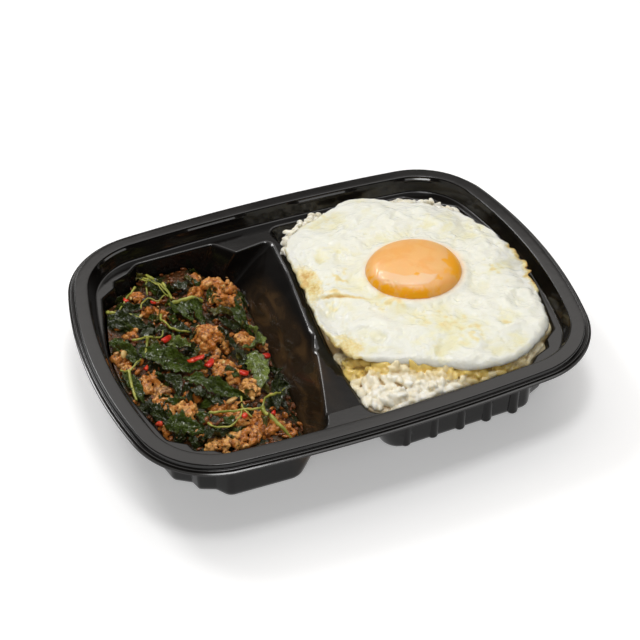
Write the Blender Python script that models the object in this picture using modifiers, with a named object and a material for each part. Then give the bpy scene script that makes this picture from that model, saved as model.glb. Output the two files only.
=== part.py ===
"""A two-compartment lunch tray holding a minced pork stir-fry, rice and a fried egg.

Units are metres and +Z is up. The tray stands on z = 0 with its length along X, the
stir-fry on the -X side and the rice on the +X side. The origin is on the table, under the
middle of the tray.
"""

import math

import bmesh
import bpy
from mathutils import Vector, noise

MM = 0.001

# Tray, overall. It is one formed sheet, and every piece of food stands a gap clear of it.
LENGTH = 220 * MM
WIDTH = 166 * MM
HEIGHT = 35 * MM
WALL = 0.8 * MM
GAP = 0.3 * MM
BED_CLEARANCE = 1.0 * MM

# Outline of the rim: round corners joined by bowed sides.
CORNER_RADIUS = 38.9 * MM
LONG_SIDE_BOW = 2.8 * MM
SHORT_SIDE_BOW = 4.9 * MM

# Rim section. Insets are measured from the lip's edge, and drops from the top of the flange.
LIP_DROP = 2.7 * MM
LIP_WIDTH = 1.5 * MM
FLANGE_OUTER_INSET = 3.2 * MM
FLANGE_INNER_INSET = 9.1 * MM
FLANGE_ROUND = 0.4 * MM
LEDGE_INSET = 12.0 * MM
LEDGE_DROP = 7.6 * MM

# Compartments. The divider's front half is a bridge, a little lower than the ledge in front and
# lowest behind, where a ramp runs up to the ledge.
OPENING_ROUND = 0.9 * MM
FLOOR_FILLET = 4.0 * MM
CORNER_SHARE = 0.49
CUT_CLEARANCE = 2.0 * MM
BRIDGE_FRONT_DROP = 1.2 * MM
BRIDGE_BACK_DROP = 3.2 * MM
BRIDGE_FRONT = -58.8 * MM
BRIDGE_BACK = -18.5 * MM
BRIDGE_RIDGE = -10.5 * MM
BRIDGE_LEFT = -30.0 * MM

# Hollow ribs down the long walls of the rice's compartment.
RIB_COUNT = 5
RIB_FIRST = 10.2 * MM
RIB_PITCH = 12.9 * MM
RIB_RADIUS = 2.5 * MM
RIB_AXIS = 64.6 * MM
RIB_FOOT = 1.4 * MM
RIB_FOOT_SCALE = 0.6
RIB_SIDES = 8

# Every filling's top has rings at these shares of the way out from its crown to the wall, and
# its bumps fade out over the last stretch.
BED_RINGS = (0.93, 0.84, 0.7, 0.5, 0.25)
BUMPS_FADE = 6

# Rice: a bed that fills its compartment, lower at the wall and lowest in the back-left corner.
RICE_CENTRE = Vector((46.0, 0.0)) * MM
RICE_TOP = HEIGHT - 3.2 * MM
RICE_EDGE = HEIGHT - 8.2 * MM
RICE_FALL = 2.5
RICE_HOLLOWS = 1.0 * MM
RICE_HOLLOW_SIZE = 8 * MM
RICE_CORNER = Vector((-3.0, 66.0)) * MM
RICE_CORNER_REACH = 20.0 * MM
RICE_CORNER_SLOPE = 16.0 * MM
RICE_CORNER_DROP = 7.0 * MM

# Fried egg: a white sheet on the rice, and a yolk in a seat in the white. The lip is the white's
# rounded edge, as insets from the edge and rises over the underside.
WHITE_UNDER = RICE_TOP + GAP
WHITE_THICKNESS = 4.0 * MM
WHITE_BUMPS = 0.7 * MM
WHITE_BUMP_SIZE = 9 * MM
WHITE_UNDERCUT = 1.2 * MM
WHITE_LIP = ((0.3, 0.4), (0, 1.0), (0.6, 1.9), (2.5, 2.8), (7, 3.6))
WHITE_RINGS = (0.6, 0.3, 0.08)
WHITE_SEAT = 1.6 * MM
SEAT_PLAY = 0.4 * MM
YOLK_CENTRE = Vector((44.4, 2.8)) * MM
YOLK_RADIUS = 22.6 * MM
YOLK_DEPTH_RATIO = 0.92
YOLK_TOP = HEIGHT + 8.2 * MM
YOLK_WAIST = 1.0 * MM
YOLK_TUCK = 0.4 * MM
YOLK_TUCK_DROP = 1.5 * MM
YOLK_FOOT_INSET = 1.5 * MM
YOLK_DOME_STEPS = 7
YOLK_TURN_STEPS = 28

# Stir-fry: a heap against the outer walls that runs down over the sloped side of the divider.
HEAP_CENTRE = Vector((-64.0, -6.0)) * MM
HEAP_TOP = HEIGHT - 7.6 * MM
HEAP_LEFT_EDGE = HEIGHT - 9.0 * MM
HEAP_BACK_EDGE = HEIGHT - 15.0 * MM
HEAP_DIVIDER_EDGE = HEIGHT - 21.0 * MM
HEAP_FALL = 3.4
HEAP_LUMPS = 1.9 * MM
HEAP_LUMP_SIZE = 11 * MM
HEAP_BACK_START = 30 * MM
HEAP_BACK_LENGTH = 30 * MM
HEAP_DIVIDER_START = -42 * MM
HEAP_DIVIDER_LENGTH = 14 * MM

LEDGE_TOP = HEIGHT - LEDGE_DROP
CUP_DEPTH = LEDGE_TOP - WALL
RIB_TOP = LEDGE_TOP - BRIDGE_BACK_DROP

# Corners of the compartments, anticlockwise, as x, y and radius in millimetres. Each corner of
# an opening in the ledge has its corner of the floor at the same place in the list.
STEPPED = ((89.2, 47.8, 3.0), (82.2, 52.8, 1.5), (80.8, 57.3, 1.5), (73.5, 60.2, 3.0), (68.0, 65.0, 4.0))
STEPPED_FLOOR = ((87.6, 46.8, 3.0), (80.8, 51.3, 1.5), (79.4, 55.8, 1.5), (73.0, 58.6, 3.0), (69.0, 64.0, 4.0))
SIDE = (100.6, 0.0, 180.0)
SIDE_FLOOR = (98.6, 0.0, 178.0)
PORK_SIDE = (
    (-26.6, -66.2, 5.0), (-9.2, -20.5, 8.0), (-11.2, -8.0, 14.0), (-5.6, 33.0, 40.0), (-4.1, 58.5, 3.5),
    (-22.4, 55.4, 2.0), (-30.5, 65.6, 5.0),
)
PORK_SIDE_FLOOR = (
    (-37.0, -65.0, 5.0), (-38.0, -20.5, 14.0), (-38.1, -8.0, 14.0), (-38.3, 33.0, 40.0), (-38.5, 50.0, 3.5),
    (-39.2, 56.0, 2.0), (-42.0, 64.6, 5.0),
)
RICE_SIDE = ((-3.0, 67.0, 5.0), (-0.1, 52.0, 14.0), (-5.1, 13.0, 40.0), (-8.2, -16.0, 24.0), (-7.8, -67.0, 7.0))
RICE_SIDE_FLOOR = ((7.0, 65.6, 5.0), (8.6, 52.0, 14.0), (5.4, 13.0, 40.0), (3.0, -16.0, 24.0), (2.4, -65.6, 7.0))

# The fried white's edge, anticlockwise, as x and y in millimetres on a smooth closed curve.
WHITE_EDGE = (
    (97, -10), (96, 5), (93, 20), (84, 40), (73, 50), (60, 57), (48, 65), (37, 67), (25, 62), (12, 57),
    (1, 50), (-4, 40), (-6, 20), (-9, -8), (-8, -27), (-2, -39), (10, -46), (27, -54), (38, -61),
    (50, -64), (62, -64), (75, -59), (86, -50), (90, -36), (94, -22),
)


def smooth(t):
    """Eases a fraction in and out, and holds it between 0 and 1."""
    t = min(1, max(0, t))
    return t * t * (3 - 2 * t)


def mix(a, b, t):
    return a + (b - a) * t


def arc(centre, radius, start, end, steps):
    """Points along an arc, both ends included."""
    angles = (mix(start, end, i / steps) for i in range(steps + 1))
    return [Vector((centre[0] + radius * math.cos(a), centre[1] + radius * math.sin(a))) for a in angles]


def lifted(outline, height):
    return [Vector((p.x, p.y, height)) for p in outline]


def rim_outline(inset, corner_steps=8, side_steps=3):
    """The rim's outline moved inwards: half a side, a corner and half a back, mirrored round."""
    core_x = LENGTH / 2 - CORNER_RADIUS - SHORT_SIDE_BOW
    core_y = WIDTH / 2 - CORNER_RADIUS - LONG_SIDE_BOW
    side_radius = (core_y**2 + SHORT_SIDE_BOW**2) / (2 * SHORT_SIDE_BOW)
    back_radius = (core_x**2 + LONG_SIDE_BOW**2) / (2 * LONG_SIDE_BOW)
    side_turn = math.asin(core_y / side_radius)
    back_turn = math.pi / 2 - math.asin(core_x / back_radius)
    offset = CORNER_RADIUS - inset
    side_centre = (core_x + SHORT_SIDE_BOW - side_radius, 0)
    back_centre = (0, core_y + LONG_SIDE_BOW - back_radius)
    quarter = arc(side_centre, side_radius + offset, 0, side_turn, side_steps)[:-1]
    quarter += arc((core_x, core_y), offset, side_turn, back_turn, corner_steps)
    quarter += arc(back_centre, back_radius + offset, back_turn, math.pi / 2, side_steps)[1:]
    back = quarter + [Vector((-p.x, p.y)) for p in quarter[-2::-1]]
    return back + [Vector((p.x, -p.y)) for p in back[-2:0:-1]]


def moved_out(corners, distance):
    """Corners of a closed anticlockwise outline moved out by a distance, with radii to match."""
    moved = []
    for i, (x, y, radius) in enumerate(corners):
        here = Vector((x, y))
        before = (here - Vector(corners[i - 1][:2])).normalized()
        after = (Vector(corners[(i + 1) % len(corners)][:2]) - here).normalized()
        outwards = Vector((before.y + after.y, -before.x - after.x)).normalized()
        reach = distance / outwards.dot(Vector((before.y, -before.x)))
        new_radius = max(GAP, radius + math.copysign(distance, before.cross(after)))
        moved.append((*(here + outwards * reach), new_radius))
    return moved


def rounded(corners, steps, side_points):
    """A closed outline through rounded corners, with set numbers of points at corners and on sides."""
    points = []
    ends = []
    for i, (x, y, radius) in enumerate(corners):
        here = Vector((x, y))
        to_last = Vector(corners[i - 1][:2]) - here
        to_next = Vector(corners[(i + 1) % len(corners)][:2]) - here
        half = to_last.angle(to_next) / 2
        tangent = min(radius / math.tan(half), CORNER_SHARE * min(to_last.length, to_next.length))
        radius = tangent * math.tan(half)
        inwards = (to_last.normalized() + to_next.normalized()).normalized()
        centre = here + inwards * (radius / math.sin(half))
        first = here + to_last.normalized() * tangent - centre
        last = here + to_next.normalized() * tangent - centre
        start = math.atan2(first.y, first.x)
        sweep = (math.atan2(last.y, last.x) - start + math.pi) % math.tau - math.pi
        points += arc(centre, radius, start, start + sweep, steps)
        ends.append(len(points))
    for end, extra in reversed(list(zip(ends, side_points))):
        here, following = points[end - 1], points[end % len(points)]
        points[end:end] = [here.lerp(following, (k + 1) / (extra + 1)) for k in range(extra)]
    return points


def smooth_closed(points, steps):
    """A closed Catmull-Rom curve through points."""
    curve = []
    count = len(points)
    for i in range(count):
        a, b, c, d = (Vector(points[(i + k) % count]) for k in (-1, 0, 1, 2))
        for step in range(steps):
            t = step / steps
            curve.append(b + t * ((c - a) + t * ((2 * a - 5 * b + 4 * c - d) + t * (3 * (b - c) + d - a))) / 2)
    return curve


class Cup:
    """A compartment's inner surface: an opening in the ledge, sloping walls and a filleted floor."""

    spacing = 17 * MM

    def __init__(self, opening, floor):
        self.opening = [(x * MM, y * MM, r * MM) for x, y, r in opening]
        self.floor = [(x * MM, y * MM, r * MM) for x, y, r in floor]
        following = self.opening[1:] + self.opening[:1]
        lengths = [(Vector(a[:2]) - Vector(b[:2])).length for a, b in zip(self.opening, following)]
        self.side_points = [int(length / self.spacing) for length in lengths]

    def ring(self, height, grow=0.0, steps=3):
        """The wall's outline at one height, moved out."""
        def level(_point):
            return height

        return self.uneven_ring(level, grow, steps)

    def uneven_ring(self, height_at, grow=0.0, steps=3):
        """The wall's outline, moved out, at a height of its own for each point of the opening."""
        low = rounded(moved_out(self.floor, grow), steps, self.side_points)
        high = rounded(moved_out(self.opening, grow), steps, self.side_points)
        ring = []
        for a, b in zip(low, high):
            height = height_at(b)
            point = a.lerp(b, (height - WALL) / CUP_DEPTH)
            ring.append(Vector((point.x, point.y, height)))
        return ring

    def floor_rings(self, bottom, grow=0.0, steps=3):
        """Rings through the fillet between the floor and the walls."""
        rings = []
        for turn in (0, 45, 90):
            rise = FLOOR_FILLET * (1 - math.cos(math.radians(turn)))
            inwards = FLOOR_FILLET * (1 - math.sin(math.radians(turn)))
            rings.append(pulled_in(self.ring(bottom + rise, grow, steps), inwards))
        return rings


def pulled_in(ring, distance, centre=None):
    """A ring with each point moved by a distance towards the ring's centre or another."""
    centre = centre or sum((p.xy for p in ring), Vector((0, 0))) / len(ring)
    moved = []
    for p in ring:
        step = (p.xy - centre).normalized() * distance
        moved.append(Vector((p.x - step.x, p.y - step.y, p.z)))
    return moved


def pork_cup():
    """The stir-fry's compartment, from its front-right corner round to its front-left one."""
    def corners(divider, stepped, side):
        back_left = [(-x, y, r) for x, y, r in reversed(stepped)]
        front_left = [(-x, -y, r) for x, y, r in stepped]
        return [*divider, *back_left, (-side[0], side[1], side[2]), *front_left]

    return Cup(corners(PORK_SIDE, STEPPED, SIDE), corners(PORK_SIDE_FLOOR, STEPPED_FLOOR, SIDE_FLOOR))


def rice_cup():
    """The rice's compartment, from its back-left corner round to its back-right one."""
    def corners(divider, stepped, side):
        front_right = [(x, -y, r) for x, y, r in reversed(stepped)]
        return [*divider, *front_right, side, *stepped]

    return Cup(corners(RICE_SIDE, STEPPED, SIDE), corners(RICE_SIDE_FLOOR, STEPPED_FLOOR, SIDE_FLOOR))


def loft(rings, apex=None):
    """A closed solid through rings that run the same way, ending in a cap or in an apex."""
    bm = bmesh.new()
    rows = [[bm.verts.new(p) for p in ring] for ring in rings]
    count = len(rows[0])
    for low, high in zip(rows, rows[1:]):
        for i in range(count):
            j = (i + 1) % count
            bm.faces.new((low[i], low[j], high[j]))
            bm.faces.new((low[i], high[j], high[i]))
    bm.faces.new(rows[0][::-1])
    if apex is None:
        bm.faces.new(rows[-1])
    else:
        tip = bm.verts.new(apex)
        for i in range(count):
            bm.faces.new((rows[-1][i], rows[-1][(i + 1) % count], tip))
    return bm


def add_object(name, bm, collection, material=None):
    """Turns a bmesh into an object in a collection, with its faces pointing out."""
    bmesh.ops.recalc_face_normals(bm, faces=bm.faces)
    mesh = bpy.data.meshes.new(name)
    bm.to_mesh(mesh)
    bm.free()
    obj = bpy.data.objects.new(name, mesh)
    collection.objects.link(obj)
    if material:
        mesh.materials.append(material)
    return obj


def rim_solid():
    """The lip, the flange, the inner wall and a ledge that is still whole, as one lofted section."""
    section = (
        (LEDGE_INSET - WALL, LEDGE_TOP - WALL),
        (FLANGE_INNER_INSET - WALL, HEIGHT - WALL),
        (FLANGE_OUTER_INSET + WALL, HEIGHT - WALL),
        (LIP_WIDTH + WALL, HEIGHT - LIP_DROP - WALL),
        (0, HEIGHT - LIP_DROP - WALL),
        (0, HEIGHT - LIP_DROP),
        (LIP_WIDTH, HEIGHT - LIP_DROP),
        (FLANGE_OUTER_INSET - FLANGE_ROUND, HEIGHT - FLANGE_ROUND),
        (FLANGE_OUTER_INSET + FLANGE_ROUND, HEIGHT),
        (FLANGE_INNER_INSET, HEIGHT),
        (LEDGE_INSET, LEDGE_TOP),
    )
    return loft([lifted(rim_outline(inset), height) for inset, height in section])


def cup_outside(cup, top):
    return loft(cup.floor_rings(0, grow=WALL) + [cup.ring(top, grow=WALL)])


def cup_inside(cup, top):
    """The space in a compartment, flared at the ledge so that the opening's edge is rounded."""
    flared = cup.ring(LEDGE_TOP, grow=OPENING_ROUND)
    above = [Vector((p.x, p.y, top)) for p in flared]
    return loft(cup.floor_rings(WALL) + [cup.ring(LEDGE_TOP - OPENING_ROUND), flared, above])


def bridge_solid(grow, top):
    """The lowered half of the divider: it falls from a step in front to a ramp behind."""
    high = LEDGE_TOP - BRIDGE_FRONT_DROP - grow
    low = LEDGE_TOP - BRIDGE_BACK_DROP - grow
    ramp_end = mix(BRIDGE_BACK, BRIDGE_RIDGE, (top - low) / BRIDGE_BACK_DROP)
    front = BRIDGE_FRONT - grow
    bm = bmesh.new()
    profile = ((front, high), (BRIDGE_BACK, low), (ramp_end, top), (front, top))
    face = bm.faces.new([bm.verts.new((BRIDGE_LEFT, y, z)) for y, z in profile])
    moved = bmesh.ops.extrude_face_region(bm, geom=[face])["geom"]
    far_side = [v for v in moved if isinstance(v, bmesh.types.BMVert)]
    bmesh.ops.translate(bm, verts=far_side, vec=(-BRIDGE_LEFT, 0, 0))
    return bm


def rib_solid(x, y, radius, foot, top):
    """An upright round rib with a rounded foot."""
    levels = ((foot, RIB_FOOT_SCALE), (foot + RIB_FOOT_SCALE * radius, 1), (top, 1))
    last = math.tau * (1 - 1 / RIB_SIDES)
    return loft([lifted(arc((x, y), radius * s, 0, last, RIB_SIDES - 1), z) for z, s in levels])


def cut_or_join(part, tool, operation):
    modifier = part.modifiers.new(f"{operation.title()} {tool.name}", "BOOLEAN")
    modifier.operation = operation
    modifier.solver = "EXACT"
    modifier.object = tool


def make_material(name, colour, roughness):
    material = bpy.data.materials.new(name)
    material.use_nodes = True
    shader = material.node_tree.nodes["Principled BSDF"]
    shader.inputs["Base Color"].default_value = (*colour, 1)
    shader.inputs["Roughness"].default_value = roughness
    shader.inputs["Metallic"].default_value = 0
    return material


def make_tray(parts, cutters):
    """One formed sheet: rim, ledge and two cups, with a hollow divider between the cups."""
    plastic = make_material("Black plastic", (0.018, 0.017, 0.017), 0.28)
    tray = add_object("tray", rim_solid(), parts, plastic)
    buried = LEDGE_TOP - WALL / 2
    clear = LEDGE_TOP + CUT_CLEARANCE
    ribs = [(RIB_FIRST + i * RIB_PITCH, y) for i in range(RIB_COUNT) for y in (-RIB_AXIS, RIB_AXIS)]
    joined = {
        "pork_cup_outside": cup_outside(pork_cup(), buried),
        "rice_cup_outside": cup_outside(rice_cup(), buried),
        "bridge_outside": bridge_solid(WALL, buried),
    }
    removed = {
        "pork_cup_inside": cup_inside(pork_cup(), clear),
        "rice_cup_inside": cup_inside(rice_cup(), clear),
        "bridge_inside": bridge_solid(0, clear),
    }
    for i, (x, y) in enumerate(ribs):
        joined[f"rib_outside_{i}"] = rib_solid(x, y, RIB_RADIUS, RIB_FOOT, buried)
        removed[f"rib_inside_{i}"] = rib_solid(x, y, RIB_RADIUS - WALL, RIB_FOOT + WALL, RIB_TOP)
    for name, bm in joined.items():
        cut_or_join(tray, add_object(name, bm, cutters), "UNION")
    for name, bm in removed.items():
        cut_or_join(tray, add_object(name, bm, cutters), "DIFFERENCE")
    return tray


def food_bed(cup, edge_at, centre, top, fall, bumps):
    """A filling: it follows the cup, and its top runs from the edge's heights to a bumpy crown."""
    clearance = -BED_CLEARANCE
    rings = cup.floor_rings(WALL + GAP, clearance, steps=2)
    rim = cup.uneven_ring(edge_at, clearance, steps=2)
    rings.append(rim)
    for share in BED_RINGS:
        ring = []
        for p in rim:
            flat = centre.lerp(p.xy, share)
            crown = mix(p.z, top, 1 - share**fall)
            ring.append(Vector((*flat, crown + bumps(flat) * (1 - share**BUMPS_FADE))))
        rings.append(ring)
    return loft(rings, apex=(*centre, top + bumps(centre)))


def bumps_of(size, depth, sunken=False):
    """Gentle bumps of a given size and depth, all below zero if sunken."""
    def height(point):
        value = noise.noise(Vector((point.x, point.y, 0)) / size)
        return -abs(value) * depth if sunken else value * depth

    return height


def heap_edge(point):
    """How high the stir-fry stands against the wall at each point of its compartment's opening."""
    back = smooth((point.y - HEAP_BACK_START) / HEAP_BACK_LENGTH)
    divider = smooth((point.x - HEAP_DIVIDER_START) / HEAP_DIVIDER_LENGTH)
    return mix(mix(HEAP_LEFT_EDGE, HEAP_BACK_EDGE, back), HEAP_DIVIDER_EDGE, divider)


def rice_edge(point):
    """How high the rice stands against the wall at each point of its compartment's opening."""
    away = (point.xy - RICE_CORNER).length
    return RICE_EDGE - RICE_CORNER_DROP * smooth((RICE_CORNER_REACH - away) / RICE_CORNER_SLOPE)


def make_stir_fry(parts):
    finish = make_material("Stir-fry", (0.16, 0.10, 0.035), 0.4)
    lumps = bumps_of(HEAP_LUMP_SIZE, HEAP_LUMPS)
    bm = food_bed(pork_cup(), heap_edge, HEAP_CENTRE, HEAP_TOP, HEAP_FALL, lumps)
    return add_object("stir_fry", bm, parts, finish)


def make_rice(parts):
    finish = make_material("Rice", (0.86, 0.83, 0.74), 0.45)
    hollows = bumps_of(RICE_HOLLOW_SIZE, RICE_HOLLOWS, sunken=True)
    bm = food_bed(rice_cup(), rice_edge, RICE_CENTRE, RICE_TOP, RICE_FALL, hollows)
    return add_object("rice", bm, parts, finish)


def make_white(parts):
    """A thin, bumpy sheet with a rounded edge and a round seat for the yolk."""
    finish = make_material("Egg white", (0.90, 0.86, 0.70), 0.35)
    edge = [p * MM for p in smooth_closed(WHITE_EDGE, 2)]
    bumps = bumps_of(WHITE_BUMP_SIZE, WHITE_BUMPS)
    seat = []
    for p in edge:
        away = p - YOLK_CENTRE
        stretch = math.hypot(away.x, away.y / YOLK_DEPTH_RATIO)
        seat.append(YOLK_CENTRE + away * ((YOLK_RADIUS + SEAT_PLAY) / stretch))
    top = WHITE_UNDER + WHITE_THICKNESS
    rings = [pulled_in(lifted(edge, WHITE_UNDER), WHITE_UNDERCUT, YOLK_CENTRE)]
    for inset, rise in WHITE_LIP:
        rings.append(pulled_in(lifted(edge, WHITE_UNDER + rise * MM), inset * MM, YOLK_CENTRE))
    for share in WHITE_RINGS:
        ring = [inner.lerp(outer, share) for inner, outer in zip(seat, edge)]
        rings.append([Vector((p.x, p.y, top + bumps(p))) for p in ring])
    rings.append(lifted(seat, top))
    rings.append(lifted(seat, WHITE_UNDER + WHITE_SEAT))
    return add_object("egg_white", loft(rings), parts, finish)


def make_yolk(parts):
    """A low dome turned from its profile, a little shorter from front to back."""
    finish = make_material("Egg yolk", (0.95, 0.42, 0.07), 0.15)
    bottom = WHITE_UNDER + WHITE_SEAT + GAP
    waist = WHITE_UNDER + WHITE_THICKNESS + YOLK_WAIST
    rise = YOLK_TOP - waist
    angles = [math.pi / 2 * i / YOLK_DOME_STEPS for i in range(YOLK_DOME_STEPS + 1)]
    profile = [(YOLK_RADIUS * math.sin(a), waist + rise * math.cos(a)) for a in angles]
    profile.append((YOLK_RADIUS - YOLK_TUCK, waist - YOLK_TUCK_DROP))
    profile.append((YOLK_RADIUS - YOLK_FOOT_INSET, bottom))
    profile.append((0, bottom))
    bm = bmesh.new()
    points = [bm.verts.new((r, 0, z)) for r, z in profile]
    for above, below in zip(points, points[1:]):
        bm.edges.new((above, below))
    yolk = add_object("egg_yolk", bm, parts, finish)
    yolk.location = (*YOLK_CENTRE, 0)
    yolk.scale.y = YOLK_DEPTH_RATIO
    turn = yolk.modifiers.new("Turn", "SCREW")
    turn.steps = turn.render_steps = YOLK_TURN_STEPS
    turn.use_merge_vertices = True
    turn.merge_threshold = 0.1 * MM
    return yolk


def main():
    for obj in list(bpy.data.objects):
        bpy.data.objects.remove(obj, do_unlink=True)
    parts = bpy.data.collections.new("Lunch tray meal")
    cutters = bpy.data.collections.new("Cutters")
    bpy.context.scene.collection.children.link(parts)
    bpy.context.scene.collection.children.link(cutters)
    make_tray(parts, cutters)
    make_stir_fry(parts)
    make_rice(parts)
    make_white(parts)
    make_yolk(parts)
    for cutter in cutters.objects:
        cutter.hide_render = True
        cutter.display_type = "WIRE"


main()
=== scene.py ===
"""A two-compartment lunch tray holding minced pork and basil, rice and a fried egg.

Shapes are worked out in millimetres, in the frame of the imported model: the tray stands on
z = 0 with its length along X, the stir-fry on the -X side and the rice on the +X side.
A finished piece is scaled to metres as the last step of its making.
"""

from __future__ import annotations

import bisect
import logging
import math
import random
from dataclasses import dataclass, field
from enum import Enum
from typing import Callable, Iterable, Sequence

import bmesh
import bpy
from mathutils import Matrix, Vector, noise
from mathutils.bvhtree import BVHTree
from mathutils.kdtree import KDTree


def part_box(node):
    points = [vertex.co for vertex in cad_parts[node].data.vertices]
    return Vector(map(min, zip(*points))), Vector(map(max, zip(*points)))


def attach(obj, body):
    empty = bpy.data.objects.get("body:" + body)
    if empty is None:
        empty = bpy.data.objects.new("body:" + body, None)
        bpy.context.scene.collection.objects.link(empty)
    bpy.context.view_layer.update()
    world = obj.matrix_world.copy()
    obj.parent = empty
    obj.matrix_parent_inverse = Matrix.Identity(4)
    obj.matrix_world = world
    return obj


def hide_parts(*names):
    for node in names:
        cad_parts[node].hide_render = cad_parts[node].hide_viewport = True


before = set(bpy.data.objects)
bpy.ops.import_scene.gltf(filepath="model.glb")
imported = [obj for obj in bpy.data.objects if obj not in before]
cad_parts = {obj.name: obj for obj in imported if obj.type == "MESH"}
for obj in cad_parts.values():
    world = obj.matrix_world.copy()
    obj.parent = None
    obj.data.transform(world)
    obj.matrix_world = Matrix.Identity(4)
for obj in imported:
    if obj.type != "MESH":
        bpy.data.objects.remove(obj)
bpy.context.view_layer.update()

MM = 0.001
LOG = logging.getLogger("lunch_tray")

Outline = list[Vector]
Corners = tuple[tuple[float, float, float], ...]
Colour = tuple[float, float, float]
Lay = tuple[Matrix, float]


def box_of(node: str) -> tuple[Vector, Vector]:
    """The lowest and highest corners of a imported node, in millimetres."""
    low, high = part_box(node)
    return low / MM, high / MM


def smooth(t: float) -> float:
    """Eases a fraction in and out, and holds it between 0 and 1."""
    t = min(1.0, max(0.0, t))
    return t * t * (3 - 2 * t)


def mix(a: float, b: float, t: float) -> float:
    """The number a fraction of the way from one to another."""
    return a + (b - a) * t


def hump(distance: float, width: float) -> float:
    """A smooth hump of height 1 that fades out over about twice a width."""
    return math.exp(-((distance / width) ** 2))


# ---------------------------------------------------------------------------------------------
# Shader maths
# ---------------------------------------------------------------------------------------------


class Num:
    """A number socket of a material, on which Python's operators add Math nodes."""

    def __init__(self, paint: Paint, socket: bpy.types.NodeSocket) -> None:
        """Wraps a socket.

        Args:
            paint: The material that holds the socket's node.
            socket: The output that gives the number.
        """
        self.paint = paint
        self.socket = socket

    def math(self, operation: str, *values: Num | float, clamp: bool = False) -> Num:
        """Adds a Math node.

        Args:
            operation: The node's operation.
            values: The node's inputs in order.
            clamp: Whether the result is held between 0 and 1.

        Returns:
            The node's result.
        """
        settings = {"operation": operation, "use_clamp": clamp}
        node = self.paint.node("ShaderNodeMath", settings, dict(enumerate(values)))
        return Num(self.paint, node.outputs[0])

    def __add__(self, other: Num | float) -> Num:
        """Self plus another."""
        return self.math("ADD", self, other)

    def __radd__(self, other: float) -> Num:
        """A number plus self."""
        return self.math("ADD", other, self)

    def __sub__(self, other: Num | float) -> Num:
        """Self minus another."""
        return self.math("SUBTRACT", self, other)

    def __rsub__(self, other: float) -> Num:
        """A number minus self."""
        return self.math("SUBTRACT", other, self)

    def __mul__(self, other: Num | float) -> Num:
        """Self times another."""
        return self.math("MULTIPLY", self, other)

    def __rmul__(self, other: float) -> Num:
        """A number times self."""
        return self.math("MULTIPLY", other, self)

    def __truediv__(self, other: Num | float) -> Num:
        """Self over another."""
        return self.math("DIVIDE", self, other)

    def __rtruediv__(self, other: float) -> Num:
        """A number over self."""
        return self.math("DIVIDE", other, self)

    def __pow__(self, other: Num | float) -> Num:
        """Self to a power."""
        return self.math("POWER", self, other)

    def held(self) -> Num:
        """Self held between 0 and 1."""
        return self.math("ADD", self, 0.0, clamp=True)

    def rising(self, start: float, end: float) -> Num:
        """Self eased from 0 at a start to 1 at an end.

        Args:
            start: The value that gives 0, which may be the larger one.
            end: The value that gives 1.

        Returns:
            The eased share.
        """
        settings = {"interpolation_type": "SMOOTHSTEP"}
        node = self.paint.node("ShaderNodeMapRange", settings, {0: self, 1: start, 2: end})
        return Num(self.paint, node.outputs[0])


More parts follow.
